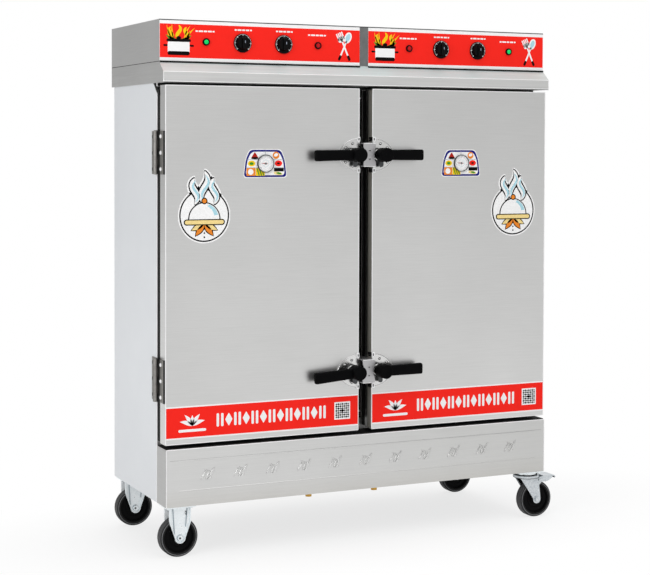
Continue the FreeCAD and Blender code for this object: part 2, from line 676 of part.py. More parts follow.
def latch_cam(z):
    """Steel spindle with a cam disc and a finger that points down when the lever is level."""
    y0 = DOOR_FRONT - 20.5
    y1 = DOOR_FRONT - 13.5
    tip = z - CAM_REACH + 7.0
    return join([
        rod_y(LATCH_X, z, SPINDLE_R, LATCH_HUB_FRONT + 4.0, DOOR_FRONT - 1.0),
        rod_y(LATCH_X, z, 19.0, y0, y1),
        box(LATCH_X - 7.0, LATCH_X + 7.0, y0, y1, tip, z),
        rod_y(LATCH_X, tip, 7.0, y0, y1),
    ])


def latch_lever(z):
    """Black moulded lever: round hub and a flat bar that widens to its end."""
    y0 = LATCH_HUB_FRONT
    y1 = DOOR_FRONT - 21.0
    hub = rounded(rod_y(LATCH_X, z, LATCH_HUB_R, y0, y1), 3.0, lambda p: p.y < y0 + 1.0)
    end = LATCH_X + LEVER_LENGTH
    outline = [(LATCH_X, z - 16.5), (end, z - 18.0), (end, z + 18.0), (LATCH_X, z + 16.5)]
    bar = plate_xz(outline, DOOR_FRONT - 51.0, DOOR_FRONT - 29.5)
    bar = rounded(bar, 5.0, lambda p: p.x > LATCH_X + 1.0)
    bar.rotate(Vector(LATCH_X, DOOR_FRONT - 40.0, z), Vector(0, 0, 1), LEVER_LEAN)
    socket = rod_y(LATCH_X, z, SPINDLE_R + 0.02, LATCH_HUB_FRONT + 4.0, y1 + 1.0)
    return cut(join([hub, bar]), [socket])


def make_latches():
    """Bases, spindles and levers of the four door latches."""
    bases = []
    for level, z in LATCH_HEIGHTS.items():
        bases += latch_base(z)
        for side, sign in (("right", 1.0), ("left", -1.0)):
            key = level + "_" + side
            place = mirrored if side == "left" else (lambda s: s)
            degrees = LEVER_DROOP[key] * sign
            x = LATCH_X * sign
            save("latch_cam_" + key, [turned_y(place(latch_cam(z)), x, z, degrees)])
            save("latch_lever_" + key, [turned_y(place(latch_lever(z)), x, z, degrees)])
    save("latch_bases_right", bases)
    save("latch_bases_left", [mirrored(s) for s in bases])


def keeper(z):
    """Folded bracket on the mullion whose waisted front plate the cams hook behind."""
    t = 2.5
    w = KEEPER_HALF_WIDTH
    h = KEEPER_HALF_HEIGHT
    y0 = KEEPER_FRONT
    plate = box(-w, w, y0, y0 + 3.0, z - h, z + h)
    waist_half_height = 26.0
    waist_depth = 5.0
    r = (waist_half_height ** 2 + waist_depth ** 2) / (2.0 * waist_depth)
    scoops = both(rod_y(w - waist_depth + r, z, r, y0 - 1.0, y0 + 4.0))
    shapes = [cut(plate, scoops)]
    for sign in (-1, 1):
        a, b = sorted((z + sign * (h - t), z + sign * h))
        shapes.append(box(-w + 1.0, w - 1.0, y0 + 1.0, BODY_FRONT, a, b))
        a, b = sorted((z + sign * (h - t), z + sign * (h + 16.0)))
        shapes.append(box(-w + 1.0, w - 1.0, BODY_FRONT - t, BODY_FRONT, a, b))
    holes = []
    screws = []
    for screw_z in (z - 14.0, z + 14.0):
        holes.append(rod_y(0.0, screw_z, 2.1, y0 - 1.0, y0 + 4.0))
        head = rounded(rod_y(0.0, screw_z, 4.0, y0 - 1.8, y0), 1.0, lambda p: p.y < y0 - 1.0)
        screws.append(join([head, rod_y(0.0, screw_z, 2.0, y0 - 0.5, y0 + 3.0)]))
    return [cut(join(shapes), holes)] + screws


def make_keepers():
    """Keeper bracket for each pair of latches."""
    solids = []
    for z in LATCH_HEIGHTS.values():
        solids += keeper(z)
    save("latch_keepers", solids)


def make_thermometers():
    """Round dial in a bezel on the door, with a stem through it into the chamber."""
    z = THERMOMETER_Z
    x = THERMOMETER_X
    front = DOOR_FRONT - 9.0
    case = rounded(rod_y(x, z, THERMOMETER_R, front, DOOR_FRONT), 2.0, lambda p: p.y < front + 1.0)
    case = cut(case, [rod_y(x, z, THERMOMETER_R - 3.5, front - 1.0, DOOR_FRONT - 4.0)])
    stem = rod_y(x, z, STEM_R, DOOR_FRONT - 1.0, DOOR_BACK + 40.0)
    glass = rod_y(x, z, THERMOMETER_R - 3.6, front + 1.5, front + 2.5)
    nut_bore = rod_y(x, z, STEM_R + 0.05, DOOR_BACK - 1.0, DOOR_BACK + 6.0)
    nut = cut(hexagon_y(x, z, 17.0, DOOR_BACK, DOOR_BACK + 5.0), [nut_bore])
    pointer = join([box(x - 1.0, x + 1.0, DOOR_FRONT - 5.5, DOOR_FRONT - 5.0, z - 4.0, z + 18.0),
                    rod_y(x, z, 2.5, DOOR_FRONT - 6.0, DOOR_FRONT - 4.0)])
    pieces = [join([case, stem]), glass, nut, pointer]
    save("thermometer_right", pieces)
    save("thermometer_left", [mirrored(s) for s in pieces])


# Casters, drawn with the swivel axis at x = y = 0 and the wheel trailing to the right

def caster_plate():
    """Top plate with four bolt holes."""
    length, width, sheet = CASTER_PLATE
    x = length / 2.0
    y = width / 2.0
    plate = rounded_corners(box(-x, x, -y, y, CASTER_HEIGHT - sheet, CASTER_HEIGHT))
    dx, dy = CASTER_BOLTS
    holes = [rod_z(sx * dx, sy * dy, 4.2, CASTER_HEIGHT - sheet - 1.0, CASTER_HEIGHT + 1.0)
             for sx in (-1, 1) for sy in (-1, 1)]
    return cut(plate, holes)


def rounded_corners(plate):
    """Caster plate with its four upright edges rounded."""
    edges = [e for e in plate.Edges if abs(e.Vertexes[0].Z - e.Vertexes[1].Z) > 1.0]
    return plate.makeFillet(8.0, edges)


def caster_bolts():
    """Four bolts up through the top plate into the frame."""
    dx, dy = CASTER_BOLTS
    low = CASTER_HEIGHT - CASTER_PLATE[2]
    bolts = []
    for sx in (-1, 1):
        for sy in (-1, 1):
            head = hexagon_z(sx * dx, sy * dy, 12.0, low - 5.0, low)
            bolts.append(join([head, rod_z(sx * dx, sy * dy, 4.0, low - 1.0, CASTER_HEIGHT + TUBE_WALL)]))
    return bolts


def fork_leg(outline, y0, y1, tip_x, tip_r):
    """Flat fork leg that narrows to a round end at the axle."""
    leg = join([plate_xz(outline, y0, y1), rod_y(tip_x, WHEEL_R, tip_r, y0, y1)])
    return cut(leg, [rod_y(tip_x, WHEEL_R, AXLE_R + 0.02, y0 - 1.0, y1 + 1.0)])


def axle_bolt(x):
    """Bolt through the wheel with a hexagon head and nut."""
    out = FORK_INNER + FORK_SHEET
    return join([
        rod_y(x, WHEEL_R, AXLE_R, -out - 3.0, out + 6.0),
        hexagon_y(x, WHEEL_R, 16.0, -out - 6.0, -out),
        hexagon_y(x, WHEEL_R, 16.0, out, out + 5.0),
    ])


def rigid_fork():
    """Fixed caster fork: top plate, two legs with folded edges, axle and bolts."""
    half = 35.0
    shoulder = WHEEL_R + 50.0
    tip = 17.0
    top = CASTER_HEIGHT - CASTER_PLATE[2] + 1.0
    outline = [(-half, top), (-half, shoulder), (-tip, WHEEL_R + 1.0), (tip, WHEEL_R + 1.0),
               (half, shoulder), (half, top)]
    shapes = [caster_plate()]
    for side in (-1, 1):
        y0, y1 = sorted((side * FORK_INNER, side * (FORK_INNER + FORK_SHEET)))
        shapes.append(fork_leg(outline, y0, y1, 0.0, tip))
        y0, y1 = sorted((side * FORK_INNER, side * (FORK_INNER + FORK_SHEET + 5.0)))
        for edge in (-half, half - FORK_SHEET):
            shapes.append(box(edge, edge + FORK_SHEET, y0, y1, shoulder, top))
    return [join(shapes), axle_bolt(0.0)] + caster_bolts()


def swivel_plate():
    """Fixed half of a swivel caster: top plate, upper race, king pin with nut, and bolts."""
    race = rod_z(0.0, 0.0, 36.0, 148.6, CASTER_HEIGHT - 2.0)
    pin = rod_z(0.0, 0.0, AXLE_R, 130.5, CASTER_HEIGHT - 2.0)
    nut = hexagon_z(0.0, 0.0, 18.0, 130.5, 136.6)
    return [join([caster_plate(), race, pin, nut])] + caster_bolts()


def swivel_fork():
    """Turning half of a swivel caster: lower race, crown, two legs and the axle."""
    tip = 14.5
    outline = [(-34.0, 140.0), (51.0, 140.0), (51.0, 122.0), (40.0, 112.0),
               (TRAIL + tip, WHEEL_R + 2.0), (TRAIL - tip, WHEEL_R + 3.0)]
    shapes = [
        rod_z(0.0, 0.0, 45.0, 141.0, 148.2),
        box(-32.0, 40.0, -FORK_INNER - FORK_SHEET, FORK_INNER + FORK_SHEET, 137.0, 141.5),
    ]
    for side in (-1, 1):
        y0, y1 = sorted((side * FORK_INNER, side * (FORK_INNER + FORK_SHEET)))
        shapes.append(fork_leg(outline, y0, y1, TRAIL, tip))
    pedal_bore = rod_y(PEDAL_PIVOT[0], PEDAL_PIVOT[1], 4.0 + RUNNING_GAP, -40.0, 40.0)
    pin_bore = rod_z(0.0, 0.0, AXLE_R + RUNNING_GAP, 130.0, 150.0)
    return [cut(join(shapes), [pedal_bore, pin_bore]), axle_bolt(TRAIL)]


def brake_pedal():
    """Pressed pedal that straddles the fork, with a brake pad over the tyre and its pin."""
    px, pz = PEDAL_PIVOT
    inner = FORK_INNER + FORK_SHEET + 1.0
    outer = inner + 2.5
    cheek = [(37.0, 125.0), (46.0, 122.0), (74.0, 124.0), (92.0, 135.0),
             (92.0, 141.5), (50.0, 141.5), (38.0, 138.0)]
    shapes = []
    for side in (-1, 1):
        y0, y1 = sorted((side * inner, side * outer))
        shapes.append(plate_xz(cheek, y0, y1))
    tread = [(54.0, 140.5), (90.0, 141.0), (99.0, 139.0), (PEDAL_TIP - 2.5, 133.5),
             (PEDAL_TIP, 134.5), (101.0, 141.5), (91.0, 144.0), (54.0, 143.5)]
    shapes.append(plate_xz(tread, -outer, outer))
    pad = [(55.0, 141.0), (76.0, 141.5), (72.0, 117.9), (58.0, 123.0)]
    shapes.append(plate_xz(pad, -15.0, 15.0))
    pedal = cut(join(shapes), [rod_y(px, pz, 4.02, -40.0, 40.0)])
    pin = rod_y(px, pz, 4.0, -outer - 1.5, outer + 1.5)
    return [pedal, pin]


def wheel_tyre():
    """Rubber tyre with rounded shoulders."""
    half = WHEEL_WIDTH / 2.0
    ring = rod_y(0.0, WHEEL_R, WHEEL_R, -half, half)
    ring = ring.makeFillet(6.0, [e for e in ring.Edges if e.Curve.TypeId == "Part::GeomCircle"])
    return cut(ring, [rod_y(0.0, WHEEL_R, HUB_R, -half - 1.0, half + 1.0)])


def wheel_hub():
    """Black moulded wheel centre: rim, dished web and bearing boss."""
    half = WHEEL_WIDTH / 2.0 - 1.0
    disc = rod_y(0.0, WHEEL_R, HUB_R, -half, half)
    dish = [cut(rod_y(0.0, WHEEL_R, HUB_R - 5.0, y0, y0 + 5.0), [rod_y(0.0, WHEEL_R, 20.0, -30.0, 30.0)])
            for y0 in (-half - 1.0, half - 4.0)]
    boss = rod_y(0.0, WHEEL_R, 14.0, -FORK_INNER + 0.6, FORK_INNER - 0.6)
    bore = rod_y(0.0, WHEEL_R, AXLE_R + RUNNING_GAP, -40.0, 40.0)
    return cut(join([cut(disc, dish), boss]), [bore])


def placed(shapes, x, y, reverse=False):
    """Caster pieces at a plate's middle, turned half round where the wheel trails inwards."""
    result = []
    for shape in shapes:
        copy = shape.copy()
        if reverse:
            copy.rotate(Vector(0, 0, 0), Vector(0, 0, 1), 180.0)
        copy.translate(Vector(x, y, 0))
        result.append(copy)
    return result


def make_casters():
    """Two rigid casters on the left, two swivel casters with brakes on the right."""
    mounts = []
    rows = (("front", CASTER_FRONT_Y, False), ("back", CASTER_BACK_Y, True))
    for row, y, reverse in rows:
        left = row + "_left"
        mounts += placed(rigid_fork(), -CASTER_X, y)
        save("tyre_" + left, placed([wheel_tyre()], -CASTER_X, y))
        save("wheel_hub_" + left, placed([wheel_hub()], -CASTER_X, y))
        right = row + "_right"
        mounts += placed(swivel_plate(), CASTER_X, y)
        save("swivel_fork_" + right, placed(swivel_fork(), CASTER_X, y, reverse))
        save("brake_pedal_" + right, placed(brake_pedal(), CASTER_X, y, reverse))
        axle_x = CASTER_X - TRAIL if reverse else CASTER_X + TRAIL
        save("tyre_" + right, placed([wheel_tyre()], axle_x, y))
        save("wheel_hub_" + right, placed([wheel_hub()], axle_x, y))
    save("caster_mounts", mounts)


def main():
    """Write every node of the cabinet."""
    os.makedirs("parts", exist_ok=True)
    make_base_frame()
    make_side_panels()
    make_back_panel()
    make_control_box()
    make_collar()
    make_fascia_plates()
    make_front_frame()
    make_chamber_liners()
    make_body_insulation()
    make_plinth_panel()
    make_tray_racks()
    make_heating_elements()
    make_element_guards()
    make_pipe_outlets()
    make_control_gear()
    make_pilot_lamps()
    make_knobs()
    make_doors()
    make_hinges()
    make_latches()
    make_keepers()
    make_thermometers()
    make_casters()


main()
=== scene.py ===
"""Rice steamer cabinet: finishes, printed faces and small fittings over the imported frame.

All sizes are in metres, in the frame's own axes: +X to the right seen from the front, +Y from
the doors to the back, +Z up. Outlines are flat, in x and z. Prints are thin closed plates laid
on the sheet that carries them.
"""

import json
import logging
import math
from dataclasses import dataclass, field
from enum import Enum

import bmesh
import bpy
import numpy as np
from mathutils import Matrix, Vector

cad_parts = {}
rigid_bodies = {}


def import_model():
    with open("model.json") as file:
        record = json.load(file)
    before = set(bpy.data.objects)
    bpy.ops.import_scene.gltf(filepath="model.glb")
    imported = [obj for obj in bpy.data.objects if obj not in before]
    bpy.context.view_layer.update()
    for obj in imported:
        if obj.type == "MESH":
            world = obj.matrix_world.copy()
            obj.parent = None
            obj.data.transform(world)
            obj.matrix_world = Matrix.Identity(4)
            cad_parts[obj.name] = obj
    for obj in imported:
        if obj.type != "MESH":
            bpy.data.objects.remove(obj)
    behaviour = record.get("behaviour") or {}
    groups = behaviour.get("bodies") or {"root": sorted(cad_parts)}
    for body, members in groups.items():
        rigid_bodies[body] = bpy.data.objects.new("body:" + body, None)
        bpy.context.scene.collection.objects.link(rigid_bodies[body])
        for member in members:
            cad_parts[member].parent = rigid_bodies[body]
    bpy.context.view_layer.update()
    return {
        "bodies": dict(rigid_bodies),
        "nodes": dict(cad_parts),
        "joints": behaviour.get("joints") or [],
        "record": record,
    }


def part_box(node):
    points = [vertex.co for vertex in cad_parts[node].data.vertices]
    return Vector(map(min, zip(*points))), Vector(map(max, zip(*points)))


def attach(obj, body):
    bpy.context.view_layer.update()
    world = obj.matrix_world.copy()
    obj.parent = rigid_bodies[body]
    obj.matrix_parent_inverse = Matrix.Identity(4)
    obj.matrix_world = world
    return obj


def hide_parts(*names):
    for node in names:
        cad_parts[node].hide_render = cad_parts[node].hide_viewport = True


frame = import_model()
LOG = logging.getLogger("steamer")
# Names, small distances and places that more than one sub-assembly uses.
CABINET = "cabinet"
WAYS = (-1.0, 1.0)
PRINT_STEP = 0.00015
HAIR = 0.00004
HINGE_SCREWS = (-0.051, 0.0, 0.051)
# Edges flatter than this many degrees are shaded smooth, by the kind of piece.
PLAIN, FOLDED, MOULDED, ROUND = 35.0, 40.0, 50.0, 60.0

Colour = tuple[float, float, float]
Place = tuple[float, float, float]
Spot = tuple[float, float]
Outline = np.ndarray
Material = bpy.types.Material
Socket = bpy.types.NodeSocket


class Side(Enum):
    """The two halves of the cabinet, and the sign of x there."""

    LEFT = -1
    RIGHT = 1

    @property
    def word(self) -> str:
        """The side's name as it stands in node and piece names."""
        return self.name.lower()


class Level(Enum):
    """The two heights at which each door is latched."""

    LOWER = "lower"
    UPPER = "upper"


class Extent:
    """Least, greatest and middle coordinates of a CAD node's box."""

    def __init__(self, node: str) -> None:
        """Read the node's box."""
        low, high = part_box(node)
        self.x0, self.y0, self.z0 = low
        self.x1, self.y1, self.z1 = high
        self.x, self.y, self.z = ((a + b) / 2.0 for a, b in zip(low, high))


# ---------------------------------------------------------------- outlines


def around(count: int) -> np.ndarray:
    """Angles evenly spread over a full turn."""
    return np.linspace(0.0, 2.0 * np.pi, count, endpoint=False)


def unit(t: np.ndarray) -> Outline:
    """Points of the unit circle at angles t."""
    return np.column_stack([np.cos(t), np.sin(t)])


def turned(points: Outline, angle: float) -> Outline:
    """Flat points turned about the origin, anticlockwise for a positive angle."""
    c, s = math.cos(angle), math.sin(angle)
    return points @ np.array([[c, s], [-s, c]])


def placed(outline: Outline, centre: Spot, degrees: float = 0.0) -> Outline:
    """Outline turned by degrees about its own origin, then moved to centre."""
    return turned(outline, math.radians(degrees)) + np.array(centre)


def ellipse(half_x: float, half_z: float, centre: Spot, degrees: float = 0.0,
            segments: int = 48) -> Outline:
    """Ellipse with the given half axes, turned by degrees."""
    return placed(unit(around(segments)) * np.array([half_x, half_z]), centre, degrees)


def disc(radius: float, centre: Spot, segments: int = 64) -> Outline:
    """Circle as an outline."""
    return ellipse(radius, radius, centre, 0.0, segments)


def rounded_box(half_x: float, half_z: float, radius: float, centre: Spot,
                degrees: float = 0.0, steps: int = 6) -> Outline:
    """Rectangle whose corners are quarter circles."""
    arc = radius * unit(np.linspace(0.0, np.pi / 2.0, steps))
    corners = [turned(arc, quarter * np.pi / 2.0)
               + np.array([sx * (half_x - radius), sz * (half_z - radius)])
               for quarter, (sx, sz) in enumerate(((1, 1), (-1, 1), (-1, -1), (1, -1)))]
    return placed(np.vstack(corners), centre, degrees)


def rounded_polygon(corners: list[Spot], radius: float, steps: int = 6) -> Outline:
    """Polygon whose corners are parabolas between points at radius from each corner."""
    points = np.array(corners, float)
    start, end = (points + gap / np.linalg.norm(gap, axis=1)[:, None] * radius
                  for gap in (np.roll(points, 1, axis=0) - points, np.roll(points, -1, axis=0) - points))
    t = np.linspace(0.0, 1.0, steps)[None, :, None]
    arcs = (1 - t) ** 2 * start[:, None] + 2 * t * (1 - t) * points[:, None] + t ** 2 * end[:, None]
    return arcs.reshape(-1, 2)


def ribbon(path: np.ndarray, half_widths: np.ndarray) -> Outline:
    """Outline of a band of changing width along a flat path."""
    along = np.gradient(path, axis=0)
    along /= np.linalg.norm(along, axis=1)[:, None]
    across = np.column_stack([-along[:, 1], along[:, 0]]) * half_widths[:, None]
    return np.vstack([path - across, (path + across)[::-1]])


def leaf(length: float, width: float, bend: float, root: Spot, degrees: float) -> Outline:
    """Pointed leaf from its root: width follows a half sine along a bent middle line."""
    t = np.linspace(0.0, 1.0, 22)
    middle = np.column_stack([length * t, bend * np.sin(np.pi * t)])
    half = np.maximum(0.5 * width * np.sin(np.pi * t ** 0.85), HAIR)
    return placed(ribbon(middle, half), root, degrees)


def curl(height: float, sway: float, width: float, root: Spot) -> Outline:
    """Rising wisp: one full sine wave sideways, thickest at its middle."""
    t = np.linspace(0.0, 1.0, 34)
    path = np.column_stack([sway * np.sin(2.0 * np.pi * t), height * t]) + np.array(root)
    return ribbon(path, np.maximum(0.5 * width * np.sin(np.pi * t) ** 0.6, HAIR))


def ring_outline(radius: float, width: float, centre: Spot) -> Outline:
    """Thin ring as one outline, out along its rim and back inside, with a hair's gap."""
    rim = unit(np.linspace(0.002, 2.0 * np.pi - 0.002, 60))
    return np.vstack([rim * radius, rim[::-1] * (radius - width)]) + np.array(centre)


# ---------------------------------------------------------------- surfaces


@dataclass
class Shell:
    """Points and faces of a closed surface."""

    points: np.ndarray
    faces: list[list[int]]


Parts = list[tuple[Material, list[Shell]]]


def grid_shell(points: np.ndarray, wrap_u: bool = False, wrap_v: bool = False) -> Shell:
    """Quads between neighbouring points of an (nu, nv, 3) array.

    Args:
        points: the surface's points, a function of two parameters.
        wrap_u: whether the last row joins the first.
        wrap_v: whether the last column joins the first.

    Returns:
        The surface, with points numbered row by row.
    """
    nu, nv = points.shape[:2]
    number = np.arange(nu * nv).reshape(nu, nv)
    a = number if wrap_u else number[:-1]
    b = np.roll(number, -1, axis=0) if wrap_u else number[1:]
    if wrap_v:
        a2, b2 = np.roll(a, -1, axis=1), np.roll(b, -1, axis=1)
    else:
        a, a2, b, b2 = a[:, :-1], a[:, 1:], b[:, :-1], b[:, 1:]
    quads = np.stack([a, b, b2, a2], axis=-1).reshape(-1, 4)
    return Shell(points.reshape(-1, 3), quads.tolist())


def lathe(profile: list[Spot], centre: Place, axis: str = "y", segments: int = 64) -> Shell:
    """Profile of (radius, distance along the axis) turned full circle about the axis.

    Args:
        profile: radius and distance, from one end to the other. A radius of 0 closes an end.
        centre: point on the axis from which distances are counted.
        axis: "x" or "y".
        segments: steps round the circle.

    Returns:
        The turned surface.
    """
    radius, along = np.array(profile).T[:, :, None]
    circle = unit(around(segments))
    one, two = radius * circle[:, 0], radius * circle[:, 1]
    far = np.broadcast_to(along, one.shape)
    order = (far, one, two) if axis == "x" else (one, far, two)
    return grid_shell(np.stack(order, axis=-1) + np.array(centre), wrap_v=True)


def loft(sections: np.ndarray) -> Shell:
    """Closed skin over an (n, m, 3) stack of closed sections, its ends closed by one face each."""
    skin = grid_shell(sections, wrap_v=True)
    n, m = sections.shape[:2]
    first, last = list(range(m)), list(range((n - 1) * m, n * m))
    return Shell(skin.points, skin.faces + [first, last[::-1]])


def prism(outline: Outline, y_back: float, y_front: float) -> Shell:
    """Flat plate with an outline in x and z, between two depths."""
    return loft(np.stack([np.insert(outline, 1, y, axis=1) for y in (y_front, y_back)]))


def carried(section: Outline, ends: Spot) -> Shell:
    """Section in y and z carried along x from one end to the other."""
    return loft(np.stack([np.insert(section, 0, x, axis=1) for x in ends]))


def bar(x: Spot, y: Spot, z: Spot, radius: float, steps: int = 4) -> Shell:
    """Box between the given limits, its four edges along x rounded."""
    section = rounded_box((y[1] - y[0]) / 2.0, (z[1] - z[0]) / 2.0, radius,
                          ((y[0] + y[1]) / 2.0, (z[0] + z[1]) / 2.0), steps=steps)
    return carried(section, x)


def tube(path: np.ndarray, radius: float, sides: int = 10, closed: bool = False) -> Shell:
    """Round rod along a path: circles square to the path's direction at each point."""
    along = np.gradient(path, axis=0)
    if closed:
        along = np.roll(path, -1, axis=0) - np.roll(path, 1, axis=0)
    along /= np.linalg.norm(along, axis=1)[:, None]
    up = np.eye(3)[np.abs(along).max(axis=0).argmin()]
    one = np.cross(along, up)
    one /= np.linalg.norm(one, axis=1)[:, None]
    two = np.cross(along, one)
    c, s = unit(around(sides)).T[:, None, :, None]
    rings = path[:, None] + radius * (c * one[:, None] + s * two[:, None])
    return grid_shell(rings, wrap_u=True, wrap_v=True) if closed else loft(rings)


def rod(start: Place, end: Place, radius: float) -> Shell:
    """Straight round bead from start to end."""
    return tube(np.linspace(start, end, 3), radius, sides=12)


def screw_head(radius: float, rise: float, way: float = 1.0) -> list[Spot]:
    """Profile of a pan head: a quarter ellipse from the rim to the crown, with a small recess."""
    t = np.linspace(0.0, np.pi / 2.0, 6)
    crown = [(radius * (0.55 + 0.45 * math.cos(a)), rise * math.sin(a)) for a in t]
    rows = [(0.0, -0.0002), (radius, -0.0002), *crown, (radius * 0.35, rise),
            (radius * 0.18, rise * 0.45), (0.0, rise * 0.45)]
    return [(r, way * d) for r, d in rows]


def make_piece(name: str, body: str, parts: Parts, smooth: float | None = PLAIN) -> bpy.types.Object:
    """One mesh object from closed surfaces in one or more finishes, riding on a body.

    Doubled points are merged, faces of no area dropped, and all faces turned outwards.

    Args:
        name: the piece's name.
        body: the CAD body that it moves with.
        parts: the finishes, each with the surfaces that have it.
        smooth: edges flatter than this many degrees are shaded smooth; None keeps all faces flat.

    Returns:
        The object, with its place in its mesh.
    """
    slots = list(dict.fromkeys(material for material, _ in parts))
    shells = [(shell, slots.index(material)) for material, own in parts for shell in own]
    start = np.cumsum([0] + [len(shell.points) for shell, _ in shells])
    faces = [[i + int(o) for i in face] for (shell, _), o in zip(shells, start) for face in shell.faces]
    mesh = bpy.data.meshes.new(name)
    mesh.from_pydata(np.vstack([shell.points for shell, _ in shells]).tolist(), [], faces)
    for material in slots:
        mesh.materials.append(material)
    numbers = np.concatenate([np.full(len(shell.faces), slot, dtype=np.int32) for shell, slot in shells])
    mesh.polygons.foreach_set("material_index", numbers)
    bm = bmesh.new()
    bm.from_mesh(mesh)
    bmesh.ops.remove_doubles(bm, verts=bm.verts, dist=1e-7)
    bmesh.ops.dissolve_degenerate(bm, edges=bm.edges, dist=1e-7)
    bmesh.ops.recalc_face_normals(bm, faces=bm.faces)
    bm.to_mesh(mesh)
    bm.free()
    mesh.update()
    if smooth is not None:
        mesh.shade_smooth()
        mesh.set_sharp_from_angle(angle=math.radians(smooth))
    piece = bpy.data.objects.new(name, mesh)
    bpy.context.scene.collection.objects.link(piece)
    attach(piece, body)
    LOG.info("%s: %d faces", name, len(mesh.polygons))
    return piece


# ---------------------------------------------------------------- finishes


def srgb(code: str) -> Colour:
    """Screen colour such as "ff8000", turned to the linear values that sockets take."""
    c = np.array([int(code[i:i + 2], 16) for i in (0, 2, 4)]) / 255.0
    linear = np.where(c <= 0.04045, c / 12.92, ((c + 0.055) / 1.055) ** 2.4)
    return float(linear[0]), float(linear[1]), float(linear[2])


class Bench:
    """Short ways to add and join nodes in one shader tree."""

    def __init__(self, tree: bpy.types.NodeTree) -> None:
        """Work in the given tree."""
        self.tree = tree

    def link(self, out: Socket, into: Socket) -> None:
        """Join two sockets."""
        self.tree.links.new(out, into)

    def add(self, kind: str, inputs: dict | None = None, **settings) -> bpy.types.Node:
        """New shader node with its settings. Inputs given as sockets are joined, others are set."""
        node = self.tree.nodes.new("ShaderNode" + kind)
        for key, value in settings.items():
            setattr(node, key, value)
        for key, value in (inputs or {}).items():
            if isinstance(value, Socket):
                self.link(value, node.inputs[key])
            else:
                node.inputs[key].default_value = value
        return node

    def math(self, operation: str, *values: Socket | float) -> Socket:
        """Result of a sum on sockets and plain numbers."""
        return self.add("Math", dict(enumerate(values)), operation=operation).outputs[0]

    def place(self, source: str = "Object") -> Socket:
        """The point's own coordinates, or its normal."""
        return self.add("TexCoord").outputs[source]

    def part(self, vector: Socket, axis: str) -> Socket:
        """One part of a vector."""
        return self.add("SeparateXYZ", {"Vector": vector}).outputs[axis]

    def noise(self, scale: Socket, detail: float, roughness: float) -> Socket:
        """Noise on the point's own coordinates."""
        return self.add("TexNoise", {"Vector": self.place(), "Scale": scale, "Detail": detail,
                                     "Roughness": roughness}).outputs["Fac"]

    def group(self, tree: bpy.types.NodeTree, **values: float) -> bpy.types.Node:
        """Node group placed in this tree with its own values."""
        return self.add("Group", values, node_tree=tree)

    def share(self, value: Socket, begin: float, full: float, **settings) -> Socket:
        """0 to 1 as a value passes from begin to full."""
        return self.add("MapRange", {"From Min": begin, "From Max": full, "Value": value},
                        **settings).outputs["Result"]

    def span(self, factor: Socket, low: float, high: float) -> Socket:
        """Value between low and high by a factor from 0 to 1."""
        return self.add("MapRange", {"To Min": low, "To Max": high, "Value": factor}).outputs["Result"]

    def mix(self, factor: Socket, one: Socket | Colour, two: Colour, **settings) -> Socket:
        """Colour between one and two by a factor from 0 to 1."""
        start = one if isinstance(one, Socket) else (*one, 1.0)
        return self.add("Mix", {"Factor": factor, "A": start, "B": (*two, 1.0)}, data_type="RGBA",
                        **settings).outputs["Result"]


def new_group(name: str, inputs: dict[str, float], outputs: tuple[str, ...]
              ) -> tuple[Bench, dict[str, Socket], dict[str, Socket]]:
    """Empty shader group: its bench, its number inputs by name, and its outputs by name."""
    tree = bpy.data.node_groups.new(name, "ShaderNodeTree")
    for key, value in inputs.items():
        tree.interface.new_socket(key, in_out="INPUT",
                                  socket_type="NodeSocketFloat").default_value = value
    for key in outputs:
        tree.interface.new_socket(key, in_out="OUTPUT", socket_type="NodeSocketFloat")
    given = tree.nodes.new("NodeGroupInput")
    out = tree.nodes.new("NodeGroupOutput")
    return Bench(tree), given.outputs, out.inputs


def sheet_grain_group() -> bpy.types.NodeTree:
    """Rolled grain of sheet steel: fine lines along the sheet, and broad clouds over it.

    On upright faces the lines run level. On level faces they run from side to side.
    """
    bench, given, out = new_group("sheet_grain", {"Along": 4.0, "Across": 900.0, "Cloud": 3.0},
                                  ("Grain", "Clouds"))
    along, across = given["Along"], given["Across"]
    facing = bench.part(bench.add("NewGeometry").outputs["Normal"], "Z")
    is_level = bench.math("GREATER_THAN", bench.math("ABSOLUTE", facing), 0.7)
    upright = bench.add("CombineXYZ", {"X": along, "Y": along, "Z": across}).outputs[0]
    level = bench.add("CombineXYZ", {"X": along, "Y": across, "Z": along}).outputs[0]
    scale = bench.add("Mix", {"Factor": is_level, "A": upright, "B": level}, data_type="VECTOR")
    stretched = bench.add("VectorMath", {0: bench.place(), 1: scale.outputs["Result"]},
                          operation="MULTIPLY")
    lines = bench.add("TexNoise", {"Scale": 1.0, "Detail": 4.0, "Roughness": 0.6,
                                   "Vector": stretched.outputs[0]})
    bench.link(lines.outputs["Fac"], out["Grain"])
    bench.link(bench.noise(given["Cloud"], 3.0, 0.5), out["Clouds"])
    return bench.tree


def speckle_group() -> bpy.types.NodeTree:
    """Fine skin of moulded, sprayed and printed surfaces, and marks left by handling."""
    bench, given, out = new_group("surface_speckle", {"Fine": 900.0, "Marks": 25.0},
                                  ("Speckle", "Handling"))
    bench.link(bench.noise(given["Fine"], 2.0, 0.5), out["Speckle"])
    bench.link(bench.noise(given["Marks"], 5.0, 0.65), out["Handling"])
    return bench.tree


def spangle_group() -> bpy.types.NodeTree:
    """Crystal patches of a zinc coat: a random grey for each cell."""
    bench, given, out = new_group("zinc_spangle", {"Size": 160.0}, ("Patch",))
    cells = bench.add("TexVoronoi", {"Vector": bench.place(), "Scale": given["Size"]})
    bench.link(bench.add("SeparateColor", {0: cells.outputs["Color"]}).outputs[0], out["Patch"])
    return bench.tree


GRAIN = sheet_grain_group()
SPECKLE = speckle_group()
SPANGLE = spangle_group()


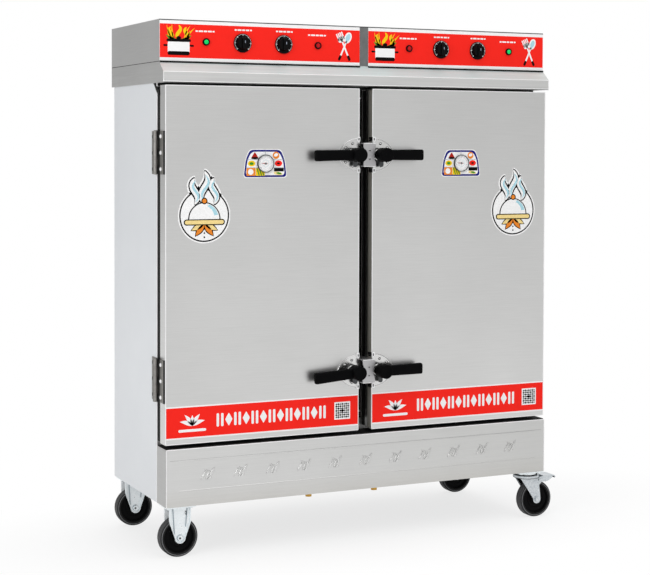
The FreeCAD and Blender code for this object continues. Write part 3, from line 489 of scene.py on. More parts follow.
@dataclass(frozen=True)
class Finish:
    """What all finishes share: a name, a light and a dark colour, and how rough they are."""

    name: str
    light: Colour
    dark: Colour
    smoothest: float
    roughest: float

    def begin(self, metallic: float) -> tuple[Material, Bench, dict[str, Socket]]:
        """New material: itself, a bench on its tree, and its Principled shader's inputs."""
        material = bpy.data.materials.new(self.name)
        material.use_nodes = True
        shader = material.node_tree.nodes["Principled BSDF"].inputs
        shader["Metallic"].default_value = metallic
        return material, Bench(material.node_tree), shader

    def tone(self, bench: Bench, shader: dict[str, Socket], factor: Socket) -> None:
        """Dark and rough where the factor is 0, light and smooth where it is 1."""
        bench.link(bench.mix(factor, self.dark, self.light), shader["Base Color"])
        bench.link(bench.span(factor, self.roughest, self.smoothest), shader["Roughness"])

    def bump(self, bench: Bench, shader: dict[str, Socket], height: Socket, depth: float,
             strength: float) -> None:
        """Let a height of the given depth tilt the shader's normal."""
        bump = bench.add("Bump", {"Distance": depth, "Strength": strength, "Height": height})
        bench.link(bump.outputs["Normal"], shader["Normal"])


@dataclass(frozen=True)
class PaintedLight:
    """Painted light and shade across a sheet: a colour multiplied in by the way that a face looks or by where
    it lies.

    Its share grows along one axis of the normal ("Normal") or the place ("Object") from begin to
    full, and where x_range is given also along x.
    """

    colour: Colour
    source: str
    axis: str
    begin: float
    full: float
    x_range: Spot | None = None

    def over(self, bench: Bench, colour: Socket) -> Socket:
        """The colour multiplied by the painted light's colour, as far as its share goes."""
        share = bench.share(bench.part(bench.place(self.source), self.axis), self.begin, self.full)
        if self.x_range:
            share = bench.math("MULTIPLY", share,
                               bench.share(bench.part(bench.place(), "X"), *self.x_range))
        return bench.mix(share, colour, self.colour, blend_type="MULTIPLY")


@dataclass(frozen=True)
class SheetSteel(Finish):
    """Bare rolled stainless sheet with a level grain."""

    along: float
    across: float
    cloud: float = 3.0
    # Painted light and shade, multiplied into the grained colour.
    tints: tuple[PaintedLight, ...] = ()

    def make(self) -> Material:
        """Grain sets the tone, the gloss and a shallow relief; clouds shift the gloss a little."""
        material, bench, shader = self.begin(1.0)
        sheet = bench.group(GRAIN, Along=self.along, Across=self.across, Cloud=self.cloud).outputs
        grain = bench.math("MULTIPLY", sheet["Grain"], 0.55)
        self.tone(bench, shader, bench.math("MULTIPLY_ADD", sheet["Clouds"], 0.45, grain))
        # Painted light and shade laid over the grain's colour.
        for painted_light in self.tints:
            colour = shader["Base Color"].links[0].from_socket
            bench.link(painted_light.over(bench, colour), shader["Base Color"])
        self.bump(bench, shader, sheet["Grain"], 0.00005, 0.35)
        return material


@dataclass(frozen=True)
class Skin(Finish):
    """Coated, moulded, printed or rubber surface with a fine skin."""

    fine: float
    marks: float = 25.0
    depth: float = 0.00003
    coat: float = 0.0
    metallic: float = 0.0
    glow: float = 0.0
    specular: float = 0.5

    def make(self) -> Material:
        """Handling marks shift the tone and the gloss, and the speckle gives the relief."""
        material, bench, shader = self.begin(self.metallic)
        skin = bench.group(SPECKLE, Fine=self.fine, Marks=self.marks).outputs
        self.tone(bench, shader, skin["Handling"])
        shader["Coat Weight"].default_value = self.coat
        shader["Specular IOR Level"].default_value = self.specular
        if self.glow:
            shader["Emission Color"].default_value = (*self.light, 1.0)
            shader["Emission Strength"].default_value = self.glow
        self.bump(bench, shader, skin["Speckle"], self.depth, 0.4)
        return material


@dataclass(frozen=True)
class Tread(Skin):
    """Rubber of a wheel: worn and paler on the tread, nearly black on the two faces."""

    def make(self) -> Material:
        """The rubber's skin, darkened by how far the face looks along the axle."""
        material = super().make()
        bench = Bench(material.node_tree)
        base = material.node_tree.nodes["Principled BSDF"].inputs["Base Color"]
        along = bench.math("ABSOLUTE", bench.part(bench.place("Normal"), "Y"))
        bench.link(bench.mix(bench.share(along, 0.55, 0.9), base.links[0].from_socket,
                             (0.008, 0.008, 0.008)), base)
        return material


@dataclass(frozen=True)
class ZincPlate(Finish):
    """Bright zinc coat with faint crystal patches."""

    size: float = 420.0

    def make(self) -> Material:
        """Each crystal patch has its own tone and gloss."""
        material, bench, shader = self.begin(0.55)
        skin = bench.group(SPECKLE, Fine=700.0, Marks=40.0).outputs
        patch = bench.math("MULTIPLY", bench.group(SPANGLE, Size=self.size).outputs["Patch"], 0.5)
        marks = bench.math("MULTIPLY", skin["Handling"], 0.5)
        self.tone(bench, shader, bench.math("ADD", patch, marks))
        self.bump(bench, shader, skin["Speckle"], 0.00005, 0.3)
        return material


@dataclass(frozen=True)
class ClearGlass(Finish):
    """Plain window of a dial."""

    def make(self) -> Material:
        """Thin clear film with a faint smear in its gloss."""
        material, bench, shader = self.begin(0.0)
        shader["Alpha"].default_value = 0.1
        shader["Base Color"].default_value = (*self.light, 1.0)
        smear = bench.group(SPECKLE, Fine=500.0, Marks=30.0).outputs["Handling"]
        bench.link(bench.span(smear, self.smoothest, self.roughest), shader["Roughness"])
        return material


# Painted light on the collar: on faces that look up, a cooler and darker left end and a painted red reflection
# at the right end; painted shade on faces that look left.
COLLAR_PAINTED_LIGHT = (PaintedLight((0.87, 0.985, 0.99), "Normal", "Z", 0.2, 0.5, (-0.74, -0.56)),
                PaintedLight((0.925, 0.93, 0.93), "Normal", "Z", 0.2, 0.5, (-0.58, -0.74)),
                PaintedLight((1.08, 0.97, 0.955), "Normal", "Z", 0.2, 0.5, (0.50, 0.70)),
                PaintedLight((0.86, 0.86, 0.86), "Normal", "X", -0.7, -0.95))
# Painted shade on the plinth: darker towards the right, and darker towards the bottom.
PLINTH_PAINTED_SHADE = (PaintedLight((0.87, 0.87, 0.865), "Object", "X", -0.45, 0.55),
                PaintedLight((0.93, 0.92, 0.90), "Object", "Z", 0.225, 0.165))
FINISHES: dict[str, Finish] = {
    "front_steel": SheetSteel("front_steel", srgb("e2e2e1"), srgb("cdcdcc"), 0.3, 0.42, 9.0,
                              330.0, 3.5),
    # Darker copy of the front steel: painted shade on the plinth's ends and along its upper pressed line.
    "end_steel": SheetSteel("plinth_end_steel", srgb("c2c2c1"), srgb("b0b0af"), 0.34, 0.46, 9.0,
                            330.0, 3.5),
    "box_steel": SheetSteel("box_steel", srgb("dededd"), srgb("cacac9"), 0.3, 0.42, 7.0, 400.0),
    "collar_steel": SheetSteel("collar_steel", srgb("ebebea"), srgb("cccccb"), 0.58, 0.72, 3.0,
                               160.0, 4.0, tints=COLLAR_PAINTED_LIGHT),
    "plinth_steel": SheetSteel("plinth_steel", srgb("e2e2e1"), srgb("cdcdcc"), 0.3, 0.42, 9.0,
                               330.0, 3.5, tints=PLINTH_PAINTED_SHADE),
    # Darker steel between the fascias: painted shade.
    "strip_steel": SheetSteel("strip_steel", srgb("8e8f8f"), srgb("686a6a"), 0.35, 0.55, 70.0,
                              25.0, 60.0),
    "liner_steel": SheetSteel("liner_steel", srgb("dededd"), srgb("c4c4c4"), 0.22, 0.36, 8.0,
                              500.0, 6.0),
    "bar_steel": SheetSteel("bar_steel", srgb("d6d6d4"), srgb("aaaaa9"), 0.25, 0.45, 30.0, 900.0,
                            20.0),
    "hinge_steel": SheetSteel("hinge_steel", srgb("b0aeaa"), srgb("767471"), 0.42, 0.6, 60.0,
                              420.0, 60.0),
    "polished": SheetSteel("polished_steel", srgb("ececec"), srgb("d0d0d0"), 0.1, 0.22, 40.0,
                           700.0, 25.0),
    "keeper_steel": SheetSteel("keeper_steel", srgb("cccbcc"), srgb("b4b3b5"), 0.34, 0.5, 60.0,
                               600.0, 25.0),
    "latch_steel": SheetSteel("latch_steel", srgb("e8e8e7"), srgb("cacac9"), 0.14, 0.28, 40.0,
                              500.0, 25.0),
    # Dark steel: painted shade on the box's top edge and on the latch cams under the levers; also the dark
    # dial bezels and fork rivets.
    "edge_steel": Skin("shadow_edge_steel", srgb("5c5e60"), srgb("404244"), 0.4, 0.6, 400.0, 30.0,
                       metallic=0.4),
    # Near-white edge: painted highlights on rods along folds and edges, on screw heads and on the latch tabs.
    "burnished": Skin("burnished_edge", srgb("fcfcfc"), srgb("eeeeef"), 0.28, 0.42, 400.0, 40.0,
                      metallic=0.35),
    "dark_steel": Skin("frame_steel", srgb("96989a"), srgb("6e7072"), 0.45, 0.65, 400.0, 12.0,
                       depth=0.0001, metallic=1.0),
    "zinc": ZincPlate("zinc_plate", srgb("fafeff"), srgb("e2eaee"), 0.24, 0.4),
    # Darker copy of the zinc: painted shade on the swivel forks and their pedals.
    "fork_zinc": ZincPlate("fork_zinc", srgb("e4e8ea"), srgb("b0b8be"), 0.26, 0.44, size=260.0),
    # Near-white sheet on the inner leg of each fixed fork: painted light where it lies in shade.
    "zinc_edge": Skin("zinc_edge", srgb("fafcfd"), srgb("ecf0f3"), 0.4, 0.55, 400.0, 40.0),
    # Grey film on each door's free edge: painted light where the edge is in shade.
    "door_edge": Skin("door_edge_film", srgb("8c8981"), srgb("6c6a64"), 0.5, 0.7, 400.0, 15.0,
                      specular=0.6),
    # Darker bluish zinc: painted shade along the folds of the fixed forks; also the washer round each axle.
    "zinc_fold": Skin("zinc_fold", srgb("b0bcc2"), srgb("8c98a0"), 0.3, 0.5, 400.0, 40.0,
                      metallic=0.6),
    "coated": Skin("coated_sheet", srgb("e8ebee"), srgb("e1e4e8"), 0.32, 0.42, 350.0, 5.0,
                   depth=0.00004, coat=0.1),
    "foam": Skin("pale_foam", srgb("eee2b2"), srgb("d6c48c"), 0.85, 0.95, 300.0, 60.0,
                 depth=0.0006),
    "rubber": Skin("door_rubber", srgb("161616"), srgb("0a0a0a"), 0.55, 0.8, 500.0, 30.0,
                   depth=0.0001, specular=0.3),
    "cover": Skin("mullion_plastic", srgb("121212"), srgb("050505"), 0.3, 0.45, 500.0, 20.0,
                  depth=0.00005, specular=0.14),
    "tyre": Tread("tyre_rubber", srgb("565657"), srgb("3a3a3b"), 0.5, 0.75, 450.0, 30.0,
                  depth=0.00015, specular=0.2),
    # Lighter grey bead between tyre and hub: painted highlight.
    "tyre_ring": Skin("tyre_moulding", srgb("78787a"), srgb("5c5c5e"), 0.5, 0.7, 500.0, 30.0,
                      depth=0.00005, specular=0.3),
    "hub": Skin("wheel_plastic", srgb("09090a"), srgb("030304"), 0.45, 0.62, 700.0, 40.0,
                depth=0.00005, specular=0.07),
    "lever": Skin("lever_plastic", srgb("080809"), srgb("030304"), 0.55, 0.7, 800.0, 45.0,
                  depth=0.00008, specular=0.05),
    "knob": Skin("knob_plastic", srgb("09090a"), srgb("040405"), 0.35, 0.5, 900.0, 60.0,
                 depth=0.00003, specular=0.09),
    "gear": Skin("gear_plastic", srgb("46484c"), srgb("2c2e32"), 0.45, 0.6, 600.0, 40.0),
    "brass": Skin("brass", srgb("d6ac58"), srgb("a87a32"), 0.22, 0.42, 400.0, 60.0, metallic=1.0),
    "element": Skin("element_steel", srgb("7e7670"), srgb("524c4a"), 0.35, 0.55, 500.0, 70.0,
                    metallic=1.0),
    "green_lens": Skin("green_lens", srgb("06da6c"), srgb("02b44e"), 0.25, 0.35, 200.0, glow=0.22,
                       specular=0.25),
    "red_lens": Skin("red_lens", srgb("cc0a14"), srgb("96060c"), 0.25, 0.35, 200.0, glow=0.06,
                     specular=0.2),
    "glass": ClearGlass("dial_glass", (1.0, 1.0, 1.0), (0.62, 0.62, 0.61), 0.02, 0.08),
}
INKS: dict[str, str] = {"red": "ff2b22", "white": "fafafa", "black": "0e0c0c", "yellow": "fad01e",
                        "orange": "f08c32", "green": "469632", "navy": "20227c", "cyan": "b0dce8",
                        "cream": "f8de96", "grey": "969eac", "slate": "4a4e58",
                        "crimson": "b0281e"}


class Paintbox:
    """Every finish and ink of the cabinet, each made once and kept under its short name."""

    def __init__(self) -> None:
        """Make the materials. An ink is a gloss print with the faint unevenness of a laid film."""
        for key, finish in FINISHES.items():
            setattr(self, key, finish.make())
        for key, code in INKS.items():
            light = srgb(code)
            ink = Skin(key + "_ink", light, tuple(0.94 * c for c in light), 0.42, 0.55, 1500.0, 18.0,
                       depth=0.00001, specular=0.05)
            setattr(self, key, ink.make())


def dress(material: Material, *nodes: str) -> None:
    """Give CAD nodes a finish."""
    for node in nodes:
        materials = frame["nodes"][node].data.materials
        materials.clear()
        materials.append(material)


# ---------------------------------------------------------------- prints


@dataclass
class Print:
    """Flat artwork on a face that looks to -Y: outlines in x and z, laid one over another."""

    surface_y: float
    parts: list[tuple[Material, list[Shell]]] = field(default_factory=list)

    def lay(self, ink: Material, layer: int, *outlines: Outline) -> None:
        """Add flat shapes in one ink, with as many prints under them as layer says."""
        front = self.surface_y - PRINT_STEP * (layer + 1)
        self.parts.append((ink, [prism(outline, self.surface_y, front) for outline in outlines]))

    def finish(self, name: str, body: str) -> None:
        """Make the artwork one piece on a body."""
        make_piece(name, body, self.parts, smooth=None)


# ---------------------------------------------------------------- control panel


@dataclass
class ControlPanel:
    """Printed fascias, knob scales and pilot lamps across the top of the cabinet."""

    paint: Paintbox
    border_top: float = 0.0105
    border_bottom: float = 0.011
    strip_middle: float = 0.0065
    strip_half: float = 0.0157
    lamp_bezel: float = 0.0115
    lamp_lens: float = 0.0075
    mark_rise_lamp: float = 0.033
    mark_rise_knob: float = 0.041
    tick_count: int = 31
    tick_sweep: float = 270.0

    def build(self) -> None:
        """Dress the control box and make its prints, scales and lamps."""
        paint = self.paint
        self.box, self.plates = Extent("control_box"), Extent("fascia_plates")
        self.middle = self.plates.x + self.strip_middle
        dress(paint.box_steel, "control_box")
        dress(paint.collar_steel, "collar")
        dress(paint.white, "fascia_plates")
        dress(paint.gear, "control_gear")
        for side in Side:
            self.fascia(side)
            for knob in ("timer_knob_", "thermostat_knob_"):
                self.knob_scale(knob + side.word)
        self.lamps("pilot_lamps_green", "green_lamp", paint.green_lens)
        self.lamps("pilot_lamps_red", "red_lamp", paint.red_lens)
        self.trim()
        self.collar_beads()

    def trim(self) -> None:
        """Painted shade on the folded top edge and on the strip between the fascias, and black seams under
        them.
        """
        paint, box, plates = self.paint, self.box, self.plates
        y, z = plates.y0, plates.z0
        left, right = self.middle - self.strip_half, self.middle + self.strip_half
        edge = bar((box.x0 + 0.0002, box.x1 - 0.0002), (y, y + 0.003),
                   (plates.z1 + 0.0001, box.z1 - 0.0001), 0.0008)
        make_piece("box_top_edge", CABINET, [(paint.edge_steel, [edge])])
        strip = bar((left + 0.0004, right - 0.0004), (y + 0.0003, y + 0.002), (z, plates.z1), 0.0004)
        make_piece("fascia_strip", CABINET, [(paint.strip_steel, [strip])])
        seams = [bar(ends, (y - 0.0050, y + 0.002), (z - 0.0046, z + 0.0006), 0.0008)
                 for ends in ((plates.x0, left), (right, plates.x1))]
        seams += [rod((x, y + 0.004, z - 0.001), (x, box.y1 - 0.004, z - 0.001), 0.0009)
                  for x in (box.x0, box.x1)]
        make_piece("fascia_seams", CABINET, [(paint.rubber, seams)])

    def collar_beads(self) -> None:
        """Painted highlights on the bends of the collar: near-white rods along its knee, its foot and its
        ends; and its black lip.
        """
        collar = Extent("collar")
        x0, x1 = collar.x0 + 0.0012, collar.x1 - 0.0012
        y, z, knee = collar.y0 + 0.0010, collar.z0, collar.z0 + 0.033
        beads = [rod((x0, y, knee), (x1, y, knee), 0.0013),
                 rod((x0, y, z + 0.0030), (x1, y, z + 0.0030), 0.0014)]
        beads += [rod((x, y + 0.0002, z + 0.0014), (x, y + 0.0002, knee), 0.0015) for x in (x0, x1)]
        lip = rod((x0 - 0.0004, y - 0.0002, z + 0.0009), (x1 + 0.0004, y - 0.0002, z + 0.0009), 0.0011)
        make_piece("collar_beads", CABINET,
                   [(self.paint.burnished, beads), (self.paint.rubber, [lip])], ROUND)

    def fascia(self, side: Side) -> None:
        """Red field on the white plate, with marks over each control and a picture at each end."""
        plates, way = self.plates, side.value
        x0, x1 = sorted((self.middle + way * self.strip_half,
                         plates.x0 if side is Side.LEFT else plates.x1))
        z0, z1 = plates.z0 + self.border_bottom, plates.z1 - self.border_top
        art = Print(plates.y0)
        art.lay(self.paint.red, 0, rounded_box((x1 - x0) / 2.0 - 0.0002, (z1 - z0) / 2.0, 0.0005,
                                               ((x0 + x1) / 2.0, (z0 + z1) / 2.0)))
        for node in ("pilot_lamps_green", "pilot_lamps_red"):
            lamps = Extent(node)
            x = (lamps.x1 if side is Side.RIGHT else lamps.x0) - way * self.lamp_bezel
            self.label_marks(art, x - 0.003, lamps.z + self.mark_rise_lamp, 0.066)
        for node in ("timer_knob_", "thermostat_knob_"):
            knob = Extent(node + side.word)
            self.label_marks(art, knob.x + 0.003, knob.z + self.mark_rise_knob, 0.061)
        self.pot_picture(art, x0 + 0.062, z0 + 0.048)
        self.cutlery_picture(art, (x1 - 0.056, (z0 + z1) / 2.0 - 0.002))
        art.finish("fascia_print_" + side.word, CABINET)

    def label_marks(self, art: Print, x: float, z: float, width: float) -> None:
        """Row of short bars, longer and shorter in turn, where a label would stand."""
        shares = np.array([0.16, 0.26, 0.2, 0.24, 0.14])
        for middle, share in zip(np.cumsum(shares) - shares / 2.0 - 0.5, shares):
            art.lay(self.paint.white, 1, rounded_box(share * width / 2.0 - 0.0013, 0.0024, 0.0008,
                                                     (x + middle * width, z), steps=3))

    def pot_picture(self, art: Print, x: float, z: float) -> None:
        """White pot with a black lid and base, yellow wisps over it and two green leaves."""
        paint = self.paint
        art.lay(paint.yellow, 1, *(curl(height, sway, 0.0115, (x + dx, z + 0.008)) for dx, sway, height in (
            (-0.026, 0.006, 0.040), (0.0, -0.006, 0.046), (0.026, 0.006, 0.040))))
        art.lay(paint.yellow, 1, *(leaf(0.052, 0.0042, 0.003, (x + dx, z + 0.006), tilt) for dx, tilt in (
            (-0.020, 112.0), (-0.015, 98.0), (0.017, 66.0), (0.022, 52.0))))
        for degrees, second, bend in ((158.0, 138.2, 0.005), (22.0, 41.8, -0.005)):
            art.lay(paint.green, 1, leaf(0.046, 0.011, bend, (x, z + 0.006), degrees))
            art.lay(paint.yellow, 1, leaf(0.050, 0.009, bend * 2.0, (x, z + 0.004), second))
        art.lay(paint.white, 2, rounded_box(0.036, 0.023, 0.010, (x, z - 0.016)))
        art.lay(paint.black, 3, rounded_box(0.040, 0.0045, 0.004, (x, z + 0.006)),
                ellipse(0.008, 0.005, (x, z + 0.014)), rounded_box(0.036, 0.006, 0.005, (x, z - 0.034)))
        art.lay(paint.black, 2, *(rounded_box(0.007, 0.003, 0.0028, (x + dx, z - 0.010))
                                  for dx in (-0.043, 0.043)))

    def cutlery_picture(self, art: Print, at: Spot) -> None:
        """White spoon and fork crossed, with black grips: each drawn upright, then tilted."""
        paint = self.paint
        for way, layer in zip(WAYS, (1, 3)):
            white = [rounded_box(0.0028, 0.036, 0.0026, (0.0, -0.008))]
            if way < 0:
                white.append(ellipse(0.0125, 0.019, (0.0, 0.032)))
                art.lay(paint.cyan, layer + 1, placed(ellipse(0.0075, 0.013, (0.0, 0.033)), at, way * 24.0))
            else:
                white.append(rounded_box(0.0125, 0.009, 0.006, (0.0, 0.026)))
                white += [rounded_box(0.0021, 0.013, 0.002, (prong, 0.036))
                          for prong in (-0.0100, -0.0033, 0.0033, 0.0100)]
            art.lay(paint.white, layer, *(placed(outline, at, way * 24.0) for outline in white))
            art.lay(paint.black, layer + 1,
                    placed(rounded_box(0.0042, 0.009, 0.004, (0.0, -0.040)), at, way * 24.0))

    def knob_scale(self, node: str) -> None:
        """White ticks on the knob's skirt, bars spread evenly over the sweep, and a grey pointer mark on its
        cap that is also a painted highlight.
        """
        paint, knob = self.paint, Extent(node)
        scale = Print(knob.y0 + 0.015)
        angles = np.linspace(90.0 + self.tick_sweep / 2.0, 90.0 - self.tick_sweep / 2.0, self.tick_count)
        for step, angle in enumerate(angles):
            radius, length, width = (0.0271, 0.0013, 0.0006) if step % 5 else (0.0262, 0.0024, 0.0010)
            a = math.radians(angle)
            centre = (knob.x + radius * math.cos(a), knob.z + radius * math.sin(a))
            scale.lay(paint.white, 0, rounded_box(length, width, 0.0003, centre, angle, steps=2))
        scale.finish(node + "_scale", node)
        # The pointer mark sits where the cap shows a glint: a pointer that is also a painted highlight.
        cap = Print(knob.y0)
        cap.lay(paint.grey, 0, rounded_box(0.0013, 0.0040, 0.0010, (knob.x + 0.0025, knob.z + 0.0035),
                                           steps=3))
        cap.finish(node + "_pointer", node)
        dress(paint.knob, node)

    def lamps(self, node: str, name: str, lens: Material) -> None:
        """Bezel with a rounded lip and a domed lens at each side, both as turned profiles."""
        lamps, outer, bore = Extent(node), self.lamp_bezel, self.lamp_lens
        edge = bore - 0.0002
        rim = [(0.0, 0.020), (0.0059, 0.020), (0.0059, 0.0), (outer, 0.0), (outer, -0.0045),
               (outer - 0.0007, -0.0056), (outer - 0.0018, -0.006), (bore + 0.0004, -0.0056),
               (bore, -0.0050), (bore, -0.0020), (0.0, -0.0020)]
        dome = [(0.0, -0.0018), (edge, -0.0018), (edge, -0.0048)]
        dome += [(edge * math.cos(a), -0.0048 - 0.0027 * math.sin(a))
                 for a in np.linspace(0.0, np.pi / 2.0, 9)[1:]]
        centres = [(x, self.plates.y0, lamps.z) for x in (lamps.x0 + outer, lamps.x1 - outer)]
        rims = make_piece(name + "_bezels", CABINET, [(self.paint.knob, [lathe(rim, c) for c in centres])])
        make_piece(name + "_lenses", CABINET, [(lens, [lathe(dome, c) for c in centres])])
        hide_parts(node)


# ---------------------------------------------------------------- doors


@dataclass
class Door:
    """One door: its sheets, printed band, badge, thermometer and latches."""

    side: Side
    paint: Paintbox
    band_low: float = 0.0165
    band_high: float = 0.1195
    band_line: float = 0.0045
    badge_radius: float = 0.083
    badge_drop: float = 0.406
    badge_inset: float = 0.128
    lever_length: float = 0.148
    lever_lean: float = 4.5
    print_margin: float = 0.0026
    fold_inset: float = 0.0012
    fold_radius: float = 0.0018
    leaf_half: float = 0.0675
    leaf_thickness: float = 0.003
    base_thickness: float = 0.003
    cam_to_spindle: float = 0.019
    hub_radius: float = 0.023
    arm_depth: float = 0.0258
    stem_radius: float = 0.003
    droops: dict[str, float] = field(default_factory=lambda: {"lower_left": 5.2, "upper_left": 1.2})

    def __post_init__(self) -> None:
        """Find the door's body, its skin, and the x of its hinged and its free edge."""
        self.body = "door_" + self.side.word
        self.skin = Extent("door_skin_" + self.side.word)
        self.hinged, self.free = (self.skin.x0, self.skin.x1)[::-self.side.value]

    def build(self) -> None:
        """Dress the door's nodes and make its prints, dial and levers."""
        word, paint = self.side.word, self.paint
        for material, node in ((paint.front_steel, "door_skin_"), (paint.liner_steel, "door_inner_panel_"),
                               (paint.foam, "door_core_"), (paint.rubber, "door_gasket_"),
                               (paint.hinge_steel, "door_hinge_leaves_"), (paint.latch_steel, "latch_bases_")):
            dress(material, node + word)
        self.band()
        self.badge()
        self.dial_plate()
        self.thermometer()
        self.edge_beads()
        self.hinge_dress()
        for level in Level:
            self.latch(level)

    def edge_beads(self) -> None:
        """Near-white rods let into the edges of the door's front as painted highlights, and a grey film of
        painted light on its free edge.
        """
        skin, inset, radius = self.skin, self.fold_inset, self.fold_radius
        x0, x1, y = skin.x0 + inset, skin.x1 - inset, skin.y0 + inset
        z0, z1 = skin.z0 + inset, skin.z1 - inset
        beads = [rod((x0, y, z), (x1, y, z), radius) for z in (z0, z1)]
        beads += [rod((x, y, z0), (x, y, z1), radius) for x in (x0, x1)]
        # The film on the free edge is painted light.
        film = bar((self.free - 0.0003, self.free + 0.0003), (skin.y0 + 0.003, skin.y0 + 0.030),
                   (z0 + 0.003, z1 - 0.003), 0.0002)
        make_piece("door_beads_" + self.side.word, self.body,
                   [(self.paint.burnished, beads), (self.paint.door_edge, [film])], ROUND)

    def hinge_dress(self) -> None:
        """Round near-white screw heads of the door leaves as painted highlights, painted shadow at their ends,
        and the gasket's lip between them.

        Each head is a dome: a quarter ellipse turned about x.
        """
        leaves = Extent("door_hinge_leaves_" + self.side.word)
        way, y, half = self.side.value, self.skin.y0, self.leaf_half
        outer = self.hinged + way * self.leaf_thickness
        dome = [(0.0, 0.0)] + [(0.0066 * math.cos(a), way * 0.0044 * math.sin(a))
                               for a in np.linspace(0.0, np.pi / 2.0, 8)]
        heads, dark = [], []
        for middle in (leaves.z0 + half, leaves.z1 - half):
            heads += [lathe(dome, (outer, y + 0.035, middle + rise), "x", 32)
                      for rise in HINGE_SCREWS]
            # The first bar is the gasket's lip; the second is painted shadow at the end of the door leaf.
            for place, reach, near, far in ((0.0083, 0.0032, -0.0002, 0.0028),
                                            (0.0510, 0.0064, 0.0031, 0.0036)):
                ends = sorted((self.hinged + way * near, self.hinged + way * far))
                dark.append(bar(ends, (y + place - reach, y + place + reach),
                                (middle - half, middle + half), 0.0003))
        make_piece("hinge_heads_" + self.side.word, self.body,
                   [(self.paint.burnished, heads), (self.paint.rubber, dark)], ROUND)

    def band(self) -> None:
        """Red band between two white lines, with leaves, a run of bars and lozenges, and a tile."""
        paint, skin = self.paint, self.skin
        art = Print(skin.y0)
        half, tall = (skin.x1 - skin.x0) / 2.0 - self.print_margin, (self.band_high - self.band_low) / 2.0
        middle = (skin.x, skin.z0 + (self.band_low + self.band_high) / 2.0)
        art.lay(paint.white, 0, rounded_box(half, tall, 0.0004, middle, steps=2))
        art.lay(paint.red, 1, rounded_box(half, tall - self.band_line, 0.0004, middle, steps=2))
        left, top = skin.x0 + self.print_margin, skin.z0 + self.band_high - self.band_line
        self.sprig(art, left + 0.086, top - 0.043)
        self.lozenge_run(art, left + 0.164, left + 0.549, top - 0.046)
        self.tile(art, (left + 0.6055, top - 0.046))
        art.finish("band_print_" + self.side.word, self.body)

    def sprig(self, art: Print, x: float, z: float) -> None:
        """Fan of five white leaves over a short white bar."""
        leaves = [leaf(length, 0.013, 0.004 * math.cos(math.radians(degrees)), (x, z - 0.016), degrees)
                  for degrees, length in zip((20.0, 55.0, 90.0, 125.0, 160.0),
                                             (0.044, 0.044, 0.034, 0.044, 0.044))]
        art.lay(self.paint.white, 2, *leaves, rounded_box(0.046, 0.0042, 0.004, (x, z - 0.030)))

    def lozenge_run(self, art: Print, x0: float, x1: float, z: float, count: int = 13) -> None:
        """White bars and lozenges in turn, all of one height, evenly spaced."""
        for step in range(count):
            x = x0 + (step + 0.5) * (x1 - x0) / count
            if step % 2:
                shapes = [rounded_polygon([(x - 0.0125, z), (x, z - 0.021), (x + 0.0125, z),
                                           (x, z + 0.021)], 0.003)]
            else:
                shapes = [rounded_box(0.0042, 0.021, 0.0035, (x + dx, z)) for dx in (-0.0075, 0.0075)]
            art.lay(self.paint.white, 2, *shapes)

    def tile(self, art: Print, centre: Spot, pitch: float = 0.007072) -> None:
        """White square with a grey lattice of small lozenges and a dark one in the middle."""
        art.lay(self.paint.white, 2, rounded_box(0.0285, 0.0285, 0.001, centre))
        for i in range(-3, 4):
            for j in range(-3, 4):
                size = 0.0029 if (i + j) % 2 else 0.0023 if i or j else 0.0044
                art.lay(self.paint.slate if (i * j) % 2 else self.paint.black, 3,
                        rounded_box(size, size, 0.0004, (centre[0] + i * pitch, centre[1] + j * pitch),
                                    45.0, steps=3))

    def badge(self) -> None:
        """Round white badge in a black ring, with a covered dish, wisps above it and leaves below."""
        paint, r = self.paint, self.badge_radius
        at = (self.hinged - self.side.value * self.badge_inset, self.skin.z1 - self.badge_drop)
        x, z = at
        art = Print(self.skin.y0)
        wisps = ((-0.032, 0.009, 0.084), (0.0, -0.011, 0.106), (0.032, 0.009, 0.084))

        def rising(taller: float, scale: float, width: float, dx: float, dz: float) -> list[Outline]:
            """The three wisps, changed in height and width, and shifted."""
            return [curl(height * scale + taller, sway, width, (x + root + dx, z + 0.034 + dz))
                    for root, sway, height in wisps]

        art.lay(paint.white, 0, disc(r + 0.0042, at, 96), *rising(0.012, 1.0, 0.040, 0.0, -0.006))
        art.lay(paint.black, 1, disc(r, at, 96))
        art.lay(paint.white, 2, disc(r - 0.0046, at, 96))
        art.lay(paint.black, 3, *rising(0.005, 1.0, 0.0285, 0.0, -0.0025))
        art.lay(paint.white, 4, *rising(-0.002, 1.0, 0.0195, 0.0, 0.001))
        art.lay(paint.cyan, 5, *rising(0.0, 0.8, 0.0080, 0.003, 0.008))
        cover, dish, knob, root_z = unit(np.linspace(0.0, np.pi, 40)), z - 0.021, z + 0.0455, z - 0.026
        art.lay(paint.black, 3, placed(cover * 0.0540, (x, z - 0.012)))
        art.lay(paint.white, 6, placed(cover * 0.0500, (x, z - 0.0115)))
        inner = unit(np.linspace(0.25, 1.25, 26))
        shade = np.vstack([inner * 0.047, inner[::-1] * np.array([0.034, 0.040])])
        art.lay(paint.cyan, 7, placed(shade, (x, z - 0.010)))
        art.lay(paint.black, 6, disc(0.0102, (x, knob)))
        art.lay(paint.orange, 7, disc(0.0070, (x, knob)))
        art.lay(paint.black, 7, rounded_box(0.068, 0.0094, 0.0085, (x, dish)))
        art.lay(paint.cream, 8, rounded_box(0.0645, 0.0062, 0.0058, (x, dish)))
        for degrees, ink in ((205.0, paint.cream), (335.0, paint.cream), (232.0, paint.orange),
                             (308.0, paint.orange)):
            root = placed(np.array([[0.0015, 0.0]]), (x, root_z), degrees)[0]
            art.lay(paint.black, 3, leaf(0.051, 0.0225, 0.0, (x, root_z), degrees))
            art.lay(ink, 4, leaf(0.0455, 0.0160, 0.0, root, degrees))
        art.lay(paint.black, 3, *(disc(0.0028, (x, z + dz), 20) for dz in (-0.042, -0.055, -0.068)))
